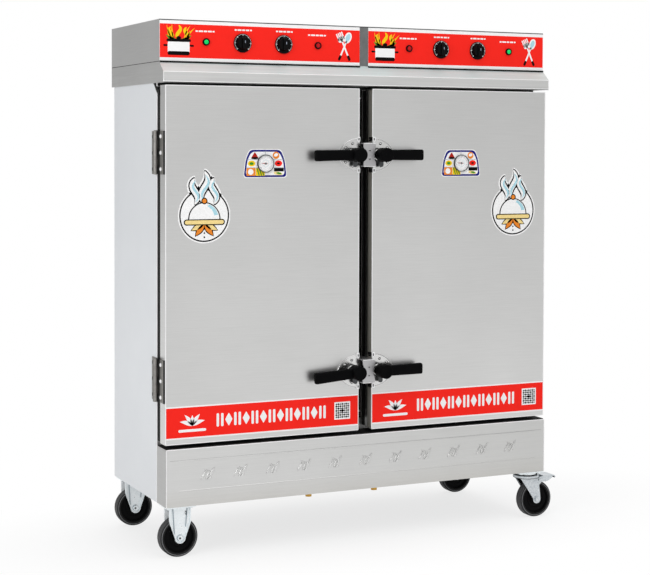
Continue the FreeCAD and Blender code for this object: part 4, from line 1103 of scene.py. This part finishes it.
        art.finish("badge_print_" + self.side.word, self.body)

    def dial_plate(self) -> None:
        """Printed plate behind the dial: navy border, white cells and plain coloured shapes."""
        paint, dial = self.paint, Extent("thermometer_" + self.side.word)
        x, z = dial.x, dial.z
        low, high, wide, narrow = z - 0.043, z + 0.0435, 0.0738, 0.0530

        def outline(inset: float) -> Outline:
            """The plate's shape taken in by inset, narrower at the top, with rounded corners."""
            right = [(wide - inset, low + inset), (wide - 0.007 - inset, z + 0.012),
                     (narrow - inset, high - inset)]
            corners = [(x + dx, dz) for dx, dz in right] + [(x - dx, dz) for dx, dz in right[::-1]]
            return rounded_polygon(corners, 0.0125, 7)

        art = Print(self.skin.y0)
        for layer, (ink, inset) in enumerate(((paint.white, -0.0022), (paint.navy, 0.0),
                                              (paint.white, 0.0060))):
            art.lay(ink, layer, outline(inset))
        art.lay(paint.grey, 3, *(rounded_box(wide - 0.0075, 0.0006, 0.0003, (x, z + dz), steps=2)
                                 for dz in (0.0125, -0.013)),
                rounded_box(0.0006, (high - z) / 2.0 - 0.003, 0.0003, (x, (z + high) / 2.0), steps=2))
        art.lay(paint.crimson, 3, rounded_polygon([(x - 0.050, z + 0.0155), (x - 0.022, z + 0.0155),
                                                   (x - 0.036, z + 0.0375)], 0.005))
        art.lay(paint.black, 4, ellipse(0.0125, 0.0035, (x - 0.036, z + 0.0172)))
        art.lay(paint.orange, 3, disc(0.0115, (x + 0.037, z + 0.0262), 40))
        for ink, layer, half_x, half_z, dx, dz, tilt in (
                (paint.white, 4, 0.0072, 0.0050, 0.037, 0.0275, 20.0),
                (paint.yellow, 3, 0.0128, 0.0092, -0.047, 0.0, 0.0),
                (paint.green, 4, 0.0072, 0.0046, -0.047, 0.0, 0.0),
                (paint.red, 3, 0.0128, 0.0096, 0.0455, 0.0005, 0.0),
                (paint.black, 4, 0.0052, 0.0030, 0.0455, 0.0005, 0.0)):
            art.lay(ink, layer, ellipse(half_x, half_z, (x + dx, z + dz), tilt))
        self.lower_cells(art, x, low + 0.0042, z - 0.0140)
        art.finish("dial_plate_" + self.side.word, self.body)

    def lower_cells(self, art: Print, x: float, low: float, high: float) -> None:
        """Lower row of the plate: orange, yellow, white and black fields with stripes and discs."""
        paint, half, middle = self.paint, (high - low) / 2.0, (low + high) / 2.0
        art.lay(paint.orange, 3, rounded_box(0.0155, half, 0.002, (x - 0.0490, middle)))
        art.lay(paint.white, 4, disc(0.0094, (x - 0.0500, middle), 40))
        art.lay(paint.yellow, 3, rounded_box(0.0155, half, 0.0005, (x - 0.0170, middle), steps=2))
        art.lay(paint.green, 4, *(rounded_box(0.0018, half, 0.0006, (x + dx, middle), 18.0)
                                  for dx in (-0.0250, -0.0170, -0.0090)))
        art.lay(paint.black, 3, rounded_box(0.0170, half * 0.45, 0.001, (x + 0.0470, high - half * 0.45)))
        art.lay(paint.cream, 4, ellipse(0.0150, 0.0052, (x + 0.0440, low + 0.0075), -8.0))
        art.lay(paint.green, 5, ellipse(0.0090, 0.0030, (x + 0.0470, low + 0.0078), -8.0))

    def thermometer(self) -> None:
        """Dial in a thin bezel with scale, pointer, window and stem."""
        word, paint = self.side.word, self.paint
        dial = Extent("thermometer_" + word)
        x, z, front, back, end = dial.x, dial.z, dial.y0, self.skin.y0, dial.y1
        r, stem_radius = (dial.x1 - dial.x0) / 2.0, self.stem_radius
        rim = [(0.0, back - 0.0015), (r - 0.0010, back - 0.0002), (r, back - 0.0012), (r, front + 0.0018),
               (r - 0.0005, front + 0.0005), (r - 0.0011, front), (r - 0.0019, front + 0.0006),
               (r - 0.0022, front + 0.0018), (r - 0.0022, back - 0.0042), (0.0, back - 0.0042)]
        stem = [(0.0, back - 0.001), (stem_radius, back - 0.001), (stem_radius, end - 0.002),
                (stem_radius - 0.0012, end), (0.0, end)]
        centre = (x, 0.0, z)
        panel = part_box("door_inner_panel_" + word)[1].y
        nut = prism(disc(0.0098, (x, z), 6), panel + 0.005, panel)
        case = make_piece("dial_case_" + word, self.body, [
            (paint.edge_steel, [lathe(rim, centre), lathe(stem, centre, segments=24), nut])])
        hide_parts("thermometer_" + word)
        face = Print(back - 0.0042)
        face.lay(paint.white, 0, disc(r - 0.0024, (x, z)))
        for step, angle in enumerate(np.linspace(225.0, -45.0, 41)):
            inset, length, width = (0.0065, 0.0011, 0.0003) if step % 5 else (0.0075, 0.0022, 0.0005)
            spot = placed(np.array([[r - inset, 0.0]]), (x, z), angle)[0]
            face.lay(paint.grey, 1, rounded_box(length, width, 0.0002, spot, angle, steps=2))
        face.lay(paint.cyan, 1, ring_outline(r - 0.0170, 0.0008, (x, z)))
        face.finish("dial_face_" + word, self.body)
        hand = Print(back - 0.0052)
        hand.lay(paint.crimson, 0, leaf(0.026, 0.0030, 0.0, (x + 0.009, z - 0.0005), 176.0))
        hand.lay(paint.black, 1, disc(0.0034, (x, z), 28))
        hand.finish("dial_hand_" + word, self.body)
        window = [(0.0, front + 0.0024), (r - 0.0023, front + 0.0024), (r - 0.0023, front + 0.0014),
                  (0.0, front + 0.0012)]
        make_piece("dial_window_" + word, self.body, [(paint.glass, [lathe(window, centre)])])

    def latch(self, level: Level) -> None:
        """Lever of one latch, a moulded hub and arm turned down by its droop."""
        key = level.value + "_" + self.side.word
        # The cams in dark steel: painted shade under the levers.
        dress(self.paint.edge_steel, "latch_cam_" + key)
        lever, cam = Extent("latch_lever_" + key), Extent("latch_cam_" + key)
        x, z, r, front, back = cam.x, cam.z1 - self.cam_to_spindle, self.hub_radius, lever.y0, lever.y1
        hub = [(0.0, front + 0.0012), (r - 0.0075, front + 0.0010), (r - 0.0055, front),
               (r - 0.0025, front + 0.0003), (r - 0.0008, front + 0.0014), (r, front + 0.0034),
               (r, back - 0.0010), (r - 0.0010, back), (0.0, back)]
        shells = [lathe(hub, (0.0, 0.0, 0.0)), self.arm(front)]
        droop = -self.side.value * math.radians(self.droops.get(key, 0.0))
        for shell in shells:
            shell.points[:, ::2] = turned(shell.points[:, ::2], droop) + np.array([x, z])
        piece = make_piece("lever_" + key, "latch_" + key, [(self.paint.lever, shells)], MOULDED)
        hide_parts("latch_lever_" + key)
        self.base_dress(level, x, z)

    def arm(self, front: float) -> Shell:
        """Lever arm: rounded box sections carried outwards, leaning to the door, closed at the tip.

        A section's corner is cos and sin to the power 0.42. Its size falls to the tip as a quarter
        circle.
        """
        u = np.linspace(0.0, 1.0, 30)
        reach = self.lever_length * (1.0 - (1.0 - u) ** 1.6)
        past = ((reach - self.lever_length + 0.006) / 0.006).clip(0.0)
        left = np.sqrt(np.clip(1.0 - past ** 2, 0.02, 1.0))
        tall = (0.0165 + 0.0015 * (reach / self.lever_length)) * (0.72 + 0.28 * left)
        deep = 0.0106 * (0.55 + 0.45 * left)
        corner = unit(around(36))
        c, s = (np.sign(corner) * np.abs(corner) ** 0.42).T
        lean = math.tan(math.radians(self.lever_lean)) * reach
        points = np.empty((30, 36, 3))
        points[..., 0] = self.side.value * reach[:, None]
        points[..., 1] = front + self.arm_depth + lean[:, None] + deep[:, None] * c
        points[..., 2] = tall[:, None] * s
        return loft(points)

    def base_dress(self, level: Level, x: float, z: float) -> None:
        """Bead round the latch base, a turned collar on its boss, screws and edge tabs.

        The bead follows two arcs of one radius that meet at the free edge's line, cut off at their
        far end by a circle about the spindle.
        """
        way, edge, y = self.side.value, self.free, self.skin.y0 - self.base_thickness
        start, half, round_end, reach = 0.006, 0.054, 0.055, 0.0732
        radius, far = (reach ** 2 + half ** 2) / (2.0 * half), abs(x - edge)
        u = (far + round_end) * np.sin(np.linspace(0.0, np.pi / 2.0, 60))
        arc = np.sqrt(radius ** 2 - (u - start) ** 2) - (radius - half)
        end = np.sqrt(np.clip(round_end ** 2 - (u - far) ** 2, 0.0, None))
        height = np.where(u > far, np.minimum(arc, end), arc) - 0.0012
        upper, lower = (np.column_stack([edge + way * u, np.full(60, y), z + sign * height])
                        for sign in (1.0, -1.0))
        bead = tube(np.vstack([upper[:-1], lower[::-1]]), 0.0012)
        boss = lathe([(0.0082, 0.0), (0.0195, 0.0), (0.0195, -0.0085), (0.0182, -0.0100),
                      (0.0150, -0.0104), (0.0082, -0.0104), (0.0082, 0.0)], (x, y, z))
        spots = [(x + way * dx, y - 0.0021, z + dz)
                 for dx, dz in 0.037 * unit(np.radians((-85.0, -40.0, 40.0, 85.0)))]
        dark = [lathe([(0.0, 0.0), (0.0044, 0.0), (0.0040, -0.0007), (0.0, -0.0009)], spot, segments=20)
                for spot in spots]
        # Near-white screw caps and edge tabs: painted highlights.
        bright = [lathe([(0.0, -0.0006), (0.0026, -0.0006), (0.0020, -0.0014), (0.0, -0.0017)], spot,
                        segments=20) for spot in spots]
        for rise in (-0.0510, 0.0510):
            bright.append(prism(rounded_box(0.0050, 0.0085, 0.0032, (edge + way * 0.0045, z + rise)),
                                y + 0.002, y - 0.0016))
            dark.append(prism(rounded_box(0.0016, 0.0040, 0.0015, (edge + way * 0.0039, z + rise)),
                              y - 0.0012, y - 0.0021))
        paint = self.paint
        make_piece("latch_trim_%s_%s" % (level.value, self.side.word), self.body,
                   [(paint.polished, [bead, boss]), (paint.cover, dark), (paint.burnished, bright)], ROUND)


# ---------------------------------------------------------------- body and underside


@dataclass
class Carcass:
    """Outer sheets, chambers and pipes of the cabinet, with the pressed plinth."""

    paint: Paintbox
    motif_count: int = 11
    motif_span: float = 0.80
    motif_rise: float = 0.0055
    leaf_half_width: float = 0.0036
    leaf_half_length: float = 0.0155
    leaf_height: float = 0.0020
    upper_line: float = 0.21
    keeper_height: float = 0.109
    keeper_tab: float = 0.0157
    mullion_half: float = 0.022
    mullion_screw_heights: Spot = (0.405, 1.448)

    def __post_init__(self) -> None:
        """Measure the nodes that several pieces are laid out from."""
        self.plinth, self.frame = Extent("plinth_panel"), Extent("front_frame")
        self.keepers = Extent("latch_keepers")

    def build(self) -> None:
        """Dress the carcass and add its pressed marks, seals and screws."""
        paint = self.paint
        for material, *nodes in (
                (paint.coated, "side_panel_left", "side_panel_right"), (paint.front_steel, "front_frame"),
                (paint.plinth_steel, "plinth_panel"), (paint.box_steel, "back_panel"),
                (paint.dark_steel, "base_frame"), (paint.bar_steel, "tray_racks"),
                (paint.liner_steel, "chamber_liner_left", "chamber_liner_right", "element_guards"),
                (paint.hinge_steel, "body_hinges"), (paint.element, "heating_elements"),
                (paint.foam, "body_insulation"), (paint.brass, "pipe_outlets"),
                (paint.keeper_steel, "latch_keepers")):
            dress(material, *nodes)
        self.plinth_motifs()
        self.plinth_trim()
        self.seals()
        self.keeper_marks()
        self.hinge_dots()
        self.back_screws()

    def plinth_motifs(self) -> None:
        """Row of pressed leaf pairs: each leaf is a low dome over an ellipse, leaning to the right."""
        plinth = self.plinth
        reach, z = (plinth.x1 - plinth.x0) * self.motif_span / 2.0, plinth.z + self.motif_rise
        shells = [self.pressed_leaf(plinth.x + reach * place + shift, plinth.y0, z + rise, tilt, size)
                  for place in np.linspace(-1.0, 1.0, self.motif_count)
                  for shift, rise, tilt, size in ((-0.0135, -0.002, 58.0, 1.15), (0.0135, 0.003, 62.0, 1.3),
                                                  (0.0, -0.003, 64.0, 1.0), (-0.004, 0.012, -24.0, 0.62),
                                                  (0.004, -0.014, 18.0, 0.6))]
        make_piece("plinth_motifs", CABINET, [(self.paint.plinth_steel, shells)], ROUND)

    def pressed_leaf(self, x: float, y: float, z: float, tilt: float, size: float) -> Shell:
        """Low dome: radius and angle over an ellipse, its height falling as a cosine to the edge."""
        share = np.linspace(0.0, 1.0, 7)[:, None]
        half_axes = size * np.array([self.leaf_half_width, self.leaf_half_length])
        rim = turned(unit(around(24)) * half_axes, math.radians(tilt - 90.0))
        top = np.empty((7, 24, 3))
        top[..., 0] = x + share * rim[:, 0]
        top[..., 1] = y - self.leaf_height * np.cos(share * np.pi / 2.0) ** 0.7
        top[..., 2] = z + share * rim[:, 1]
        foot = top[::-1].copy()
        foot[..., 1] = y + 0.0003
        return grid_shell(np.concatenate([top, foot]), wrap_v=True)

    def plinth_trim(self) -> None:
        """End plates of the plinth in painted shade, near-white rods as painted highlights along its top fold
        and its ends, and a darker rod of painted shade over its upper pressed line.
        """
        plinth, end_steel = self.plinth, self.paint.end_steel
        y, z0, z1 = plinth.y0, plinth.z0, plinth.z1
        ends = [bar((x - 0.0004, x + 0.0004), (y + 0.0032, self.frame.y0 - 0.0008),
                    (z0 + 0.0012, z1 - 0.0012), 0.0006) for x in (plinth.x0, plinth.x1)]
        make_piece("plinth_ends", CABINET, [(end_steel, ends)])
        x0, x1, fold, top = plinth.x0 + 0.001, plinth.x1 - 0.001, y + 0.0010, z1 - 0.001
        folds = [rod((x0, fold, top), (x1, fold, top), 0.0016)]
        folds += [rod((x, fold, z0 + 0.001), (x, fold, top), 0.0015) for x in (x0, x1)]
        # A darker rod over the upper pressed line: painted shade.
        line, y = z1 - self.upper_line * (z1 - z0) + 0.0026, y + 0.0014
        upper = rod((x0 + 0.011, y, line), (x1 - 0.011, y, line), 0.0011)
        make_piece("plinth_folds", CABINET, [(self.paint.burnished, folds), (end_steel, [upper])], ROUND)

    def keeper_marks(self) -> None:
        """Dark screw drives, and near-white rods as painted highlights on the upper and lower edges of the two
        keeper plates.
        """
        keepers, half = self.keepers, self.keeper_height / 2.0
        x0, x1, y = keepers.x0 + 0.001, keepers.x1 - 0.001, keepers.y0
        drive = [(0.0, 0.0004), (0.0024, 0.0004), (0.0021, -0.0004), (0.0, -0.0005)]
        edges, drives = [], []
        for middle in (keepers.z0 + half, keepers.z1 - half):
            for way in WAYS:
                z = middle + way * 0.0376
                edges.append(rod((x0, y + 0.0022, z), (x1, y + 0.0022, z), 0.0012))
                drives.append(lathe(drive, (keepers.x, y, middle + way * 0.014), segments=20))
        make_piece("keeper_edges", CABINET,
                   [(self.paint.burnished, edges), (self.paint.cover, drives)], ROUND)

    def hinge_dots(self) -> None:
        """Dark recessed screws of the body leaves, and a near-white rod as a painted highlight on the fold of
        each side panel's front edge.
        """
        hinges, panel = Extent("body_hinges"), Extent("side_panel_left")
        y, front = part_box("door_skin_left")[0].y + 0.108, panel.y0 + 0.0008
        dots, folds = [], []
        for way, face in zip(WAYS, (panel.x0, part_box("side_panel_right")[1].x)):
            cup = [(0.0, -way * 0.0002), (0.0062, -way * 0.0002), (0.0054, way * 0.0026), (0.0, way * 0.0030)]
            dots += [lathe(cup, (face + way * 0.0030, y, middle + rise), "x", 24)
                     for middle in (hinges.z0 + 0.0685, hinges.z1 - 0.0710) for rise in HINGE_SCREWS]
            x = face - way * 0.0006
            folds.append(rod((x, front, panel.z0 + 0.002), (x, front, panel.z1 - 0.002), 0.0020))
        make_piece("body_hinge_screws", CABINET, [(self.paint.cover, dots)], ROUND)
        make_piece("side_panel_folds", CABINET, [(self.paint.burnished, folds)], ROUND)

    def seals(self) -> None:
        """Black rubber strips in the gaps over, under and between the doors."""
        front, sill = self.frame.y0, self.plinth.z1
        door_top, collar_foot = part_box("door_skin_left")[1].z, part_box("collar")[0].z
        self.mullion_strips(front)
        self.strip("sill_strip", (self.plinth.y0 + 0.006, front - 0.0003), (sill, sill + 0.0022))
        self.strip("head_strip", (front - 0.0045, front - 0.0002), (door_top - 0.001, collar_foot + 0.013))
        self.seal_tongue(front, collar_foot)

    def strip(self, name: str, y: Spot, z: Spot) -> None:
        """Long black strip over the plinth's width, its section a rounded box."""
        radius = min(z[1] - z[0], y[1] - y[0]) * 0.3
        shell = bar((self.plinth.x0 + 0.0015, self.plinth.x1 - 0.0015), y, z, radius, steps=5)
        make_piece(name, CABINET, [(self.paint.rubber, [shell])])

    def seal_tongue(self, front: float, top: float) -> None:
        """Free end of the door seal at the upper left: a tapered tongue flat on the side sheet."""
        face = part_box("side_panel_left")[0].x
        outline = np.array([(0.0290, 0.0), (0.0090, 0.0), (-0.0040, -0.0140), (-0.0230, -0.0240),
                            (-0.0265, -0.0350), (-0.0160, -0.0390), (0.0010, -0.0260), (0.0160, -0.0110)])
        tongue = carried(outline + np.array([front, top]), (face + 0.0004, face - 0.0022))
        make_piece("seal_tongue", CABINET, [(self.paint.rubber, [tongue])])

    def mullion_strips(self, front: float) -> None:
        """Dark ribbed cover on the mullion, in three lengths that leave the keepers free.

        The section is a flat box with four shallow half-sine ribs on its front.
        """
        frame, keepers, tab, half = self.frame, self.keepers, self.keeper_tab, self.mullion_half
        rest = self.keeper_height - tab
        u = np.linspace(-1.0, 1.0, 49)
        ribs = np.column_stack([half * u, -0.0030 - 0.0012 * np.abs(np.sin(2.0 * np.pi * u))])
        section = np.vstack([ribs, [[half, -0.0001], [-half, -0.0001]]]) + np.array([frame.x, front])
        shells = [loft(np.stack([np.column_stack([section, np.full(len(section), z)]) for z in ends]))
                  for ends in ((frame.z0 + 0.19, keepers.z0 + tab), (keepers.z0 + rest, keepers.z1 - rest),
                               (keepers.z1 - tab, frame.z1 - 0.02))]
        make_piece("mullion_cover", CABINET, [(self.paint.cover, shells)], MOULDED)

    def back_screws(self) -> None:
        """Pan-head screws round the back panel, and two on the mullion."""
        back, y = Extent("back_panel"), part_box("control_box")[1].y
        xs = np.linspace(back.x0 + 0.012, back.x1 - 0.012, 7)
        zs = np.linspace(back.z0 + 0.015, back.z1 - 0.085, 6)
        spots = [(x, y, z) for x in xs for z in (zs[0], zs[-1])]
        spots += [(x, y, z) for x in (xs[0], xs[-1]) for z in zs[1:-1]]
        heads = [lathe(screw_head(0.0042, 0.0020), spot, segments=20) for spot in spots]
        make_piece("back_screws", CABINET, [(self.paint.bar_steel, heads)])
        heads = [lathe(screw_head(0.0045, 0.0024, -1.0), (back.x + 0.0165, self.frame.y0 - 0.0030, z),
                       segments=24) for z in self.mullion_screw_heights]
        make_piece("mullion_screws", CABINET, [(self.paint.polished, heads)])


@dataclass
class Undercarriage:
    """Casters: forks, wheels and brake pedals."""

    paint: Paintbox
    swivel_axis: float = 0.045
    lip_height: float = 0.1344
    fork_tip: float = 0.0173
    fork_half: float = 0.0354
    fork_sheet: float = 0.0026

    def build(self) -> None:
        """Dress the casters and add the folded rims of the fixed forks."""
        paint = self.paint
        dress(paint.zinc, "caster_mounts")
        for row in ("front", "back"):
            # Darker zinc: painted shade on the swivel forks and pedals.
            dress(paint.fork_zinc, "swivel_fork_%s_right" % row, "brake_pedal_%s_right" % row)
            self.swivel_marks(row)
            for side in Side:
                key = "%s_%s" % (row, side.word)
                dress(paint.tyre, "tyre_" + key)
                dress(paint.hub, "wheel_hub_" + key)
                self.wheel_rings(key)
            self.fork_rims(row)

    def swivel_marks(self, row: str) -> None:
        """Dark lines over and under the turning race, painted shadow on the fork's far leg, and the dark lip
        of the pedal.

        Each line is a ring about the swivel axis, in the gap over the race and under its plate.
        """
        rubber, swivel, press = self.paint.rubber, "swivel_%s_right" % row, "brake_pedal_%s_right" % row
        fork, pedal = Extent("swivel_fork_%s_right" % row), Extent(press)
        x, y, z = fork.x0 + self.swivel_axis, fork.y, self.lip_height
        for name, body, radius, level, thick in (("race_line_upper_", CABINET, 0.0376, 0.1500, 0.0017),
                                                 ("race_line_lower_", swivel, 0.0440, 0.1408, 0.0013)):
            path = np.column_stack([placed(unit(around(64)) * radius, (x, y)), np.full(64, level)])
            make_piece(name + row, body, [(rubber, [tube(path, thick, closed=True)])], ROUND)
        # Black plate on the far leg's inner face: painted shadow.
        leg = np.array([(-0.030, 0.139), (0.045, 0.139), (0.038, 0.112), (0.041, 0.066), (0.021, 0.066)])
        shade = prism(leg + np.array([x, 0.0]), y + 0.0203, y + 0.0196)
        make_piece("fork_lining_" + row, swivel, [(rubber, [shade])])
        tip = pedal.x1 - 0.0024
        lip = rod((tip, pedal.y0 + 0.004, z), (tip, pedal.y1 - 0.004, z), 0.0022)
        make_piece("pedal_lip_" + row, press, [(self.paint.hub, [lip])], ROUND)

    def wheel_rings(self, key: str) -> None:
        """Raised bead where the tyre meets the wheel, in a lighter grey as a painted highlight, and two rings
        on the hub, on both faces.
        """
        tyre = Extent("tyre_" + key)
        hub_rings, tyre_highlight_rings = [], []
        for way, face in zip(WAYS, (tyre.y0, tyre.y1)):
            for rings, radius, thick, inset in ((tyre_highlight_rings, 0.0565, 0.0016, 0.0006),
                                                (hub_rings, 0.0475, 0.0012, 0.0006),
                                                (hub_rings, 0.0300, 0.0012, 0.0046)):
                x, z = placed(unit(around(72)) * radius, (tyre.x, tyre.z)).T
                path = np.column_stack([x, np.full(72, face - way * inset), z])
                rings.append(tube(path, thick, closed=True))
        make_piece("wheel_beads_" + key, "wheel_" + key,
                   [(self.paint.hub, hub_rings), (self.paint.tyre_ring, tyre_highlight_rings)], ROUND)

    def fork_rims(self, row: str) -> None:
        """Folded edge round each leg of a fixed fork: a flat strip carried down, round and up."""
        paint, tyre = self.paint, Extent("tyre_%s_left" % row)
        x, y, axle = tyre.x, tyre.y, tyre.z
        shoulder, top, arc = axle + 0.050, axle + 0.094, unit(np.linspace(np.pi, 2.0 * np.pi, 25))

        def line(tip: float, half: float) -> Outline:
            """Down one side, round the tip and up the other side."""
            return np.vstack([[(x - half, top), (x - half, shoulder)], placed(arc * tip, (x, axle)),
                              [(x + half, shoulder), (x + half, top)]])

        rims, folds, rivets = [], [], []
        for way, wall, inner in zip(WAYS, (self.fork_sheet, 0.0240), (0.0205, 0.0196)):
            near, far = sorted((y + way * inner, y + way * 0.0275))
            outline = np.vstack([line(self.fork_tip, self.fork_half),
                                 line(self.fork_tip - self.fork_sheet, self.fork_half - wall)[::-1]])
            rims.append(prism(outline, far, near))
            face = y + way * 0.0248
            # Darker zinc rods along the folds: painted shade.
            folds += [rod((x + side * 0.0235, face, top - 0.002), (x + side * 0.0185, face, axle + foot),
                          0.0013) for side, foot in zip(WAYS, (0.012, 0.034))]
            folds.append(lathe([(0.0, 0.0), (0.0102, 0.0), (0.0102, way * 0.0008), (0.0094, way * 0.0012),
                                (0.0, way * 0.0012)], (x, face - way * 0.0016, axle), segments=32))
            rivets += [lathe([(0.0, 0.0), (r, 0.0), (r, way * 0.0024), (0.0, way * 0.0028)],
                             (x + dx, y + way * out, axle + dz), segments=16)
                       for dx, dz, r, out in ((-0.0015, -0.0005, 0.0036, 0.0266),
                                              (0.0190, 0.0805, 0.0019, 0.0248),
                                              (0.0190, 0.0735, 0.0019, 0.0248))]
        # The outer rim is plain zinc; the inner leg's rim is painted light; the folds are painted shade, and
        # the axle washers share that darker zinc.
        make_piece("fork_rims_%s_left" % row, CABINET,
                   [(paint.zinc, rims[:1]), (paint.zinc_fold, folds), (paint.zinc_edge, rims[1:]),
                    (paint.edge_steel, rivets)], FOLDED)


# ---------------------------------------------------------------- studio


def seen_directly(bench: Bench) -> Socket:
    """1 for rays from the camera, from a mirror or through glass, otherwise 0."""
    path = bench.add("LightPath").outputs
    seen = bench.math("MAXIMUM", path["Is Camera Ray"], path["Is Glossy Ray"])
    return bench.math("MAXIMUM", seen, path["Is Transmission Ray"])


@dataclass
class Studio:
    """Pale floor, soft lamps and the camera of the photograph.

    The floor is matt white. For the camera and for reflections a share of plain white is added,
    which grows to the whole with the distance from the cabinet, so the shadow stays and the
    horizon goes.
    """

    pixel_width: int = 650
    pixel_height: int = 575
    focal_pixels: float = 1567.011
    centre_row: float = 190.581
    yaw: float = 24.9011
    pitch: float = -1.6471
    roll: float = 0.1807
    sensor: float = 36.0
    camera_place: Place = (-2.300063, -4.840512, 1.289853)
    floor_half: float = 14.0
    floor_white: float = 0.725
    room_left: float = 0.40
    room_front: float = 0.86
    room_right: float = 0.56

    def build(self) -> None:
        """Make the floor, the world, the lamps and the camera."""
        self.floor()
        self.world()
        self.lamp("overhead", (0.4, -1.6, 4.2), (0.0, 0.0, 0.8), 3.4, 40.0)
        self.lamp("left_front", (-4.2, -2.6, 2.4), (-0.2, 0.0, 0.8), 2.6, 75.0)
        self.camera()
        bpy.context.scene.view_settings.view_transform = "Standard"

    def floor(self) -> None:
        """White floor that keeps the cabinet's shadow and fades into the backdrop."""
        u = np.linspace(-self.floor_half, self.floor_half, 3)
        shell = grid_shell(np.stack([*np.meshgrid(u, u, indexing="ij"), np.zeros((3, 3))], axis=-1))
        mesh = bpy.data.meshes.new("studio_floor")
        mesh.from_pydata(shell.points.tolist(), [], shell.faces)
        mesh.materials.append(self.floor_material())
        floor = bpy.data.objects.new("studio_floor", mesh)
        bpy.context.scene.collection.objects.link(floor)

    def floor_material(self) -> Material:
        """Matt white that turns to plain white away from the cabinet."""
        material = bpy.data.materials.new("studio_floor")
        material.use_nodes = True
        tree = material.node_tree
        bench = Bench(tree)
        tree.nodes.remove(tree.nodes["Principled BSDF"])
        matt = bench.add("BsdfDiffuse", {"Color": (0.9, 0.9, 0.9, 1.0)})
        glow = bench.add("Emission", {"Color": (1.0, 1.0, 1.0, 1.0), "Strength": 1.0})
        squeezed = bench.add("VectorMath", {0: bench.place(), 1: (0.42, 1.0, 1.0)}, operation="MULTIPLY")
        reach = bench.add("VectorMath", {0: squeezed.outputs[0]}, operation="LENGTH").outputs["Value"]
        away = bench.share(reach, 0.22, 0.72, interpolation_type="SMOOTHSTEP")
        part = bench.math("MULTIPLY", seen_directly(bench), bench.span(away, self.floor_white, 1.0))
        mix = bench.add("MixShader", {0: part, 1: matt.outputs[0], 2: glow.outputs[0]})
        bench.link(mix.outputs[0], tree.nodes["Material Output"].inputs["Surface"])
        return material

    def world(self) -> None:
        """Soft room, greyer in front of the doors and darkest at the left; plain white behind."""
        world = bpy.data.worlds.new("studio")
        world.use_nodes = True
        bpy.context.scene.world = world
        tree = world.node_tree
        bench, room = Bench(tree), tree.nodes["Background"]
        x, y = (bench.part(bench.place("Generated"), axis) for axis in "XY")
        left = bench.span(bench.share(x, -0.5, 0.15), self.room_left, 1.0)
        front = bench.span(bench.share(y, -0.6, 0.3), self.room_front, 1.0)
        corner = bench.math("MULTIPLY", bench.share(x, 0.35, 0.75), bench.share(y, 0.1, -0.3))
        tone = bench.math("MULTIPLY", bench.math("MULTIPLY", left, front),
                          bench.span(corner, 1.0, self.room_right))
        bench.link(tone, room.inputs["Color"])
        room.inputs["Strength"].default_value = 1.0
        plain = bench.add("Background", {"Color": (1.0, 1.0, 1.0, 1.0), "Strength": 1.0})
        direct = bench.add("LightPath").outputs["Is Camera Ray"]
        mix = bench.add("MixShader", {0: direct, 1: room.outputs[0], 2: plain.outputs[0]})
        bench.link(mix.outputs[0], tree.nodes["World Output"].inputs["Surface"])

    def lamp(self, name: str, place: Place, target: Place, size: float, power: float) -> None:
        """Square area lamp turned to a target."""
        data = bpy.data.lights.new(name, "AREA")
        data.size = size
        data.energy = power
        lamp = bpy.data.objects.new(name, data)
        lamp.location = place
        direction = Vector(target) - Vector(place)
        lamp.rotation_euler = direction.to_track_quat("-Z", "Y").to_euler()
        bpy.context.scene.collection.objects.link(lamp)

    def camera(self) -> None:
        """Camera from the fitted focal length, centre row, place and angles."""
        data = bpy.data.cameras.new("photo_camera")
        data.sensor_width = self.sensor
        data.lens = self.focal_pixels * self.sensor / self.pixel_width
        data.shift_y = -(self.pixel_height / 2.0 - self.centre_row) / self.pixel_width
        data.clip_end = 60.0
        camera = bpy.data.objects.new("photo_camera", data)
        camera.location = self.camera_place
        camera.rotation_mode = "XYZ"
        yaw, pitch, roll = (math.radians(v) for v in (self.yaw, self.pitch, self.roll))
        turn = Matrix.Rotation(-yaw, 3, "Z") @ Matrix.Rotation(math.pi / 2.0 + pitch, 3, "X")
        camera.rotation_euler = (turn @ Matrix.Rotation(roll, 3, "Z")).to_euler()
        bpy.context.scene.collection.objects.link(camera)
        bpy.context.scene.camera = camera


def main() -> None:
    """Build the studio and every sub-assembly in order."""
    logging.basicConfig(level=logging.INFO, format="%(name)s: %(message)s")
    Studio().build()
    paint = Paintbox()
    ControlPanel(paint).build()
    for side in Side:
        Door(side, paint).build()
    Carcass(paint).build()
    Undercarriage(paint).build()


if __name__ == "__main__":
    main()
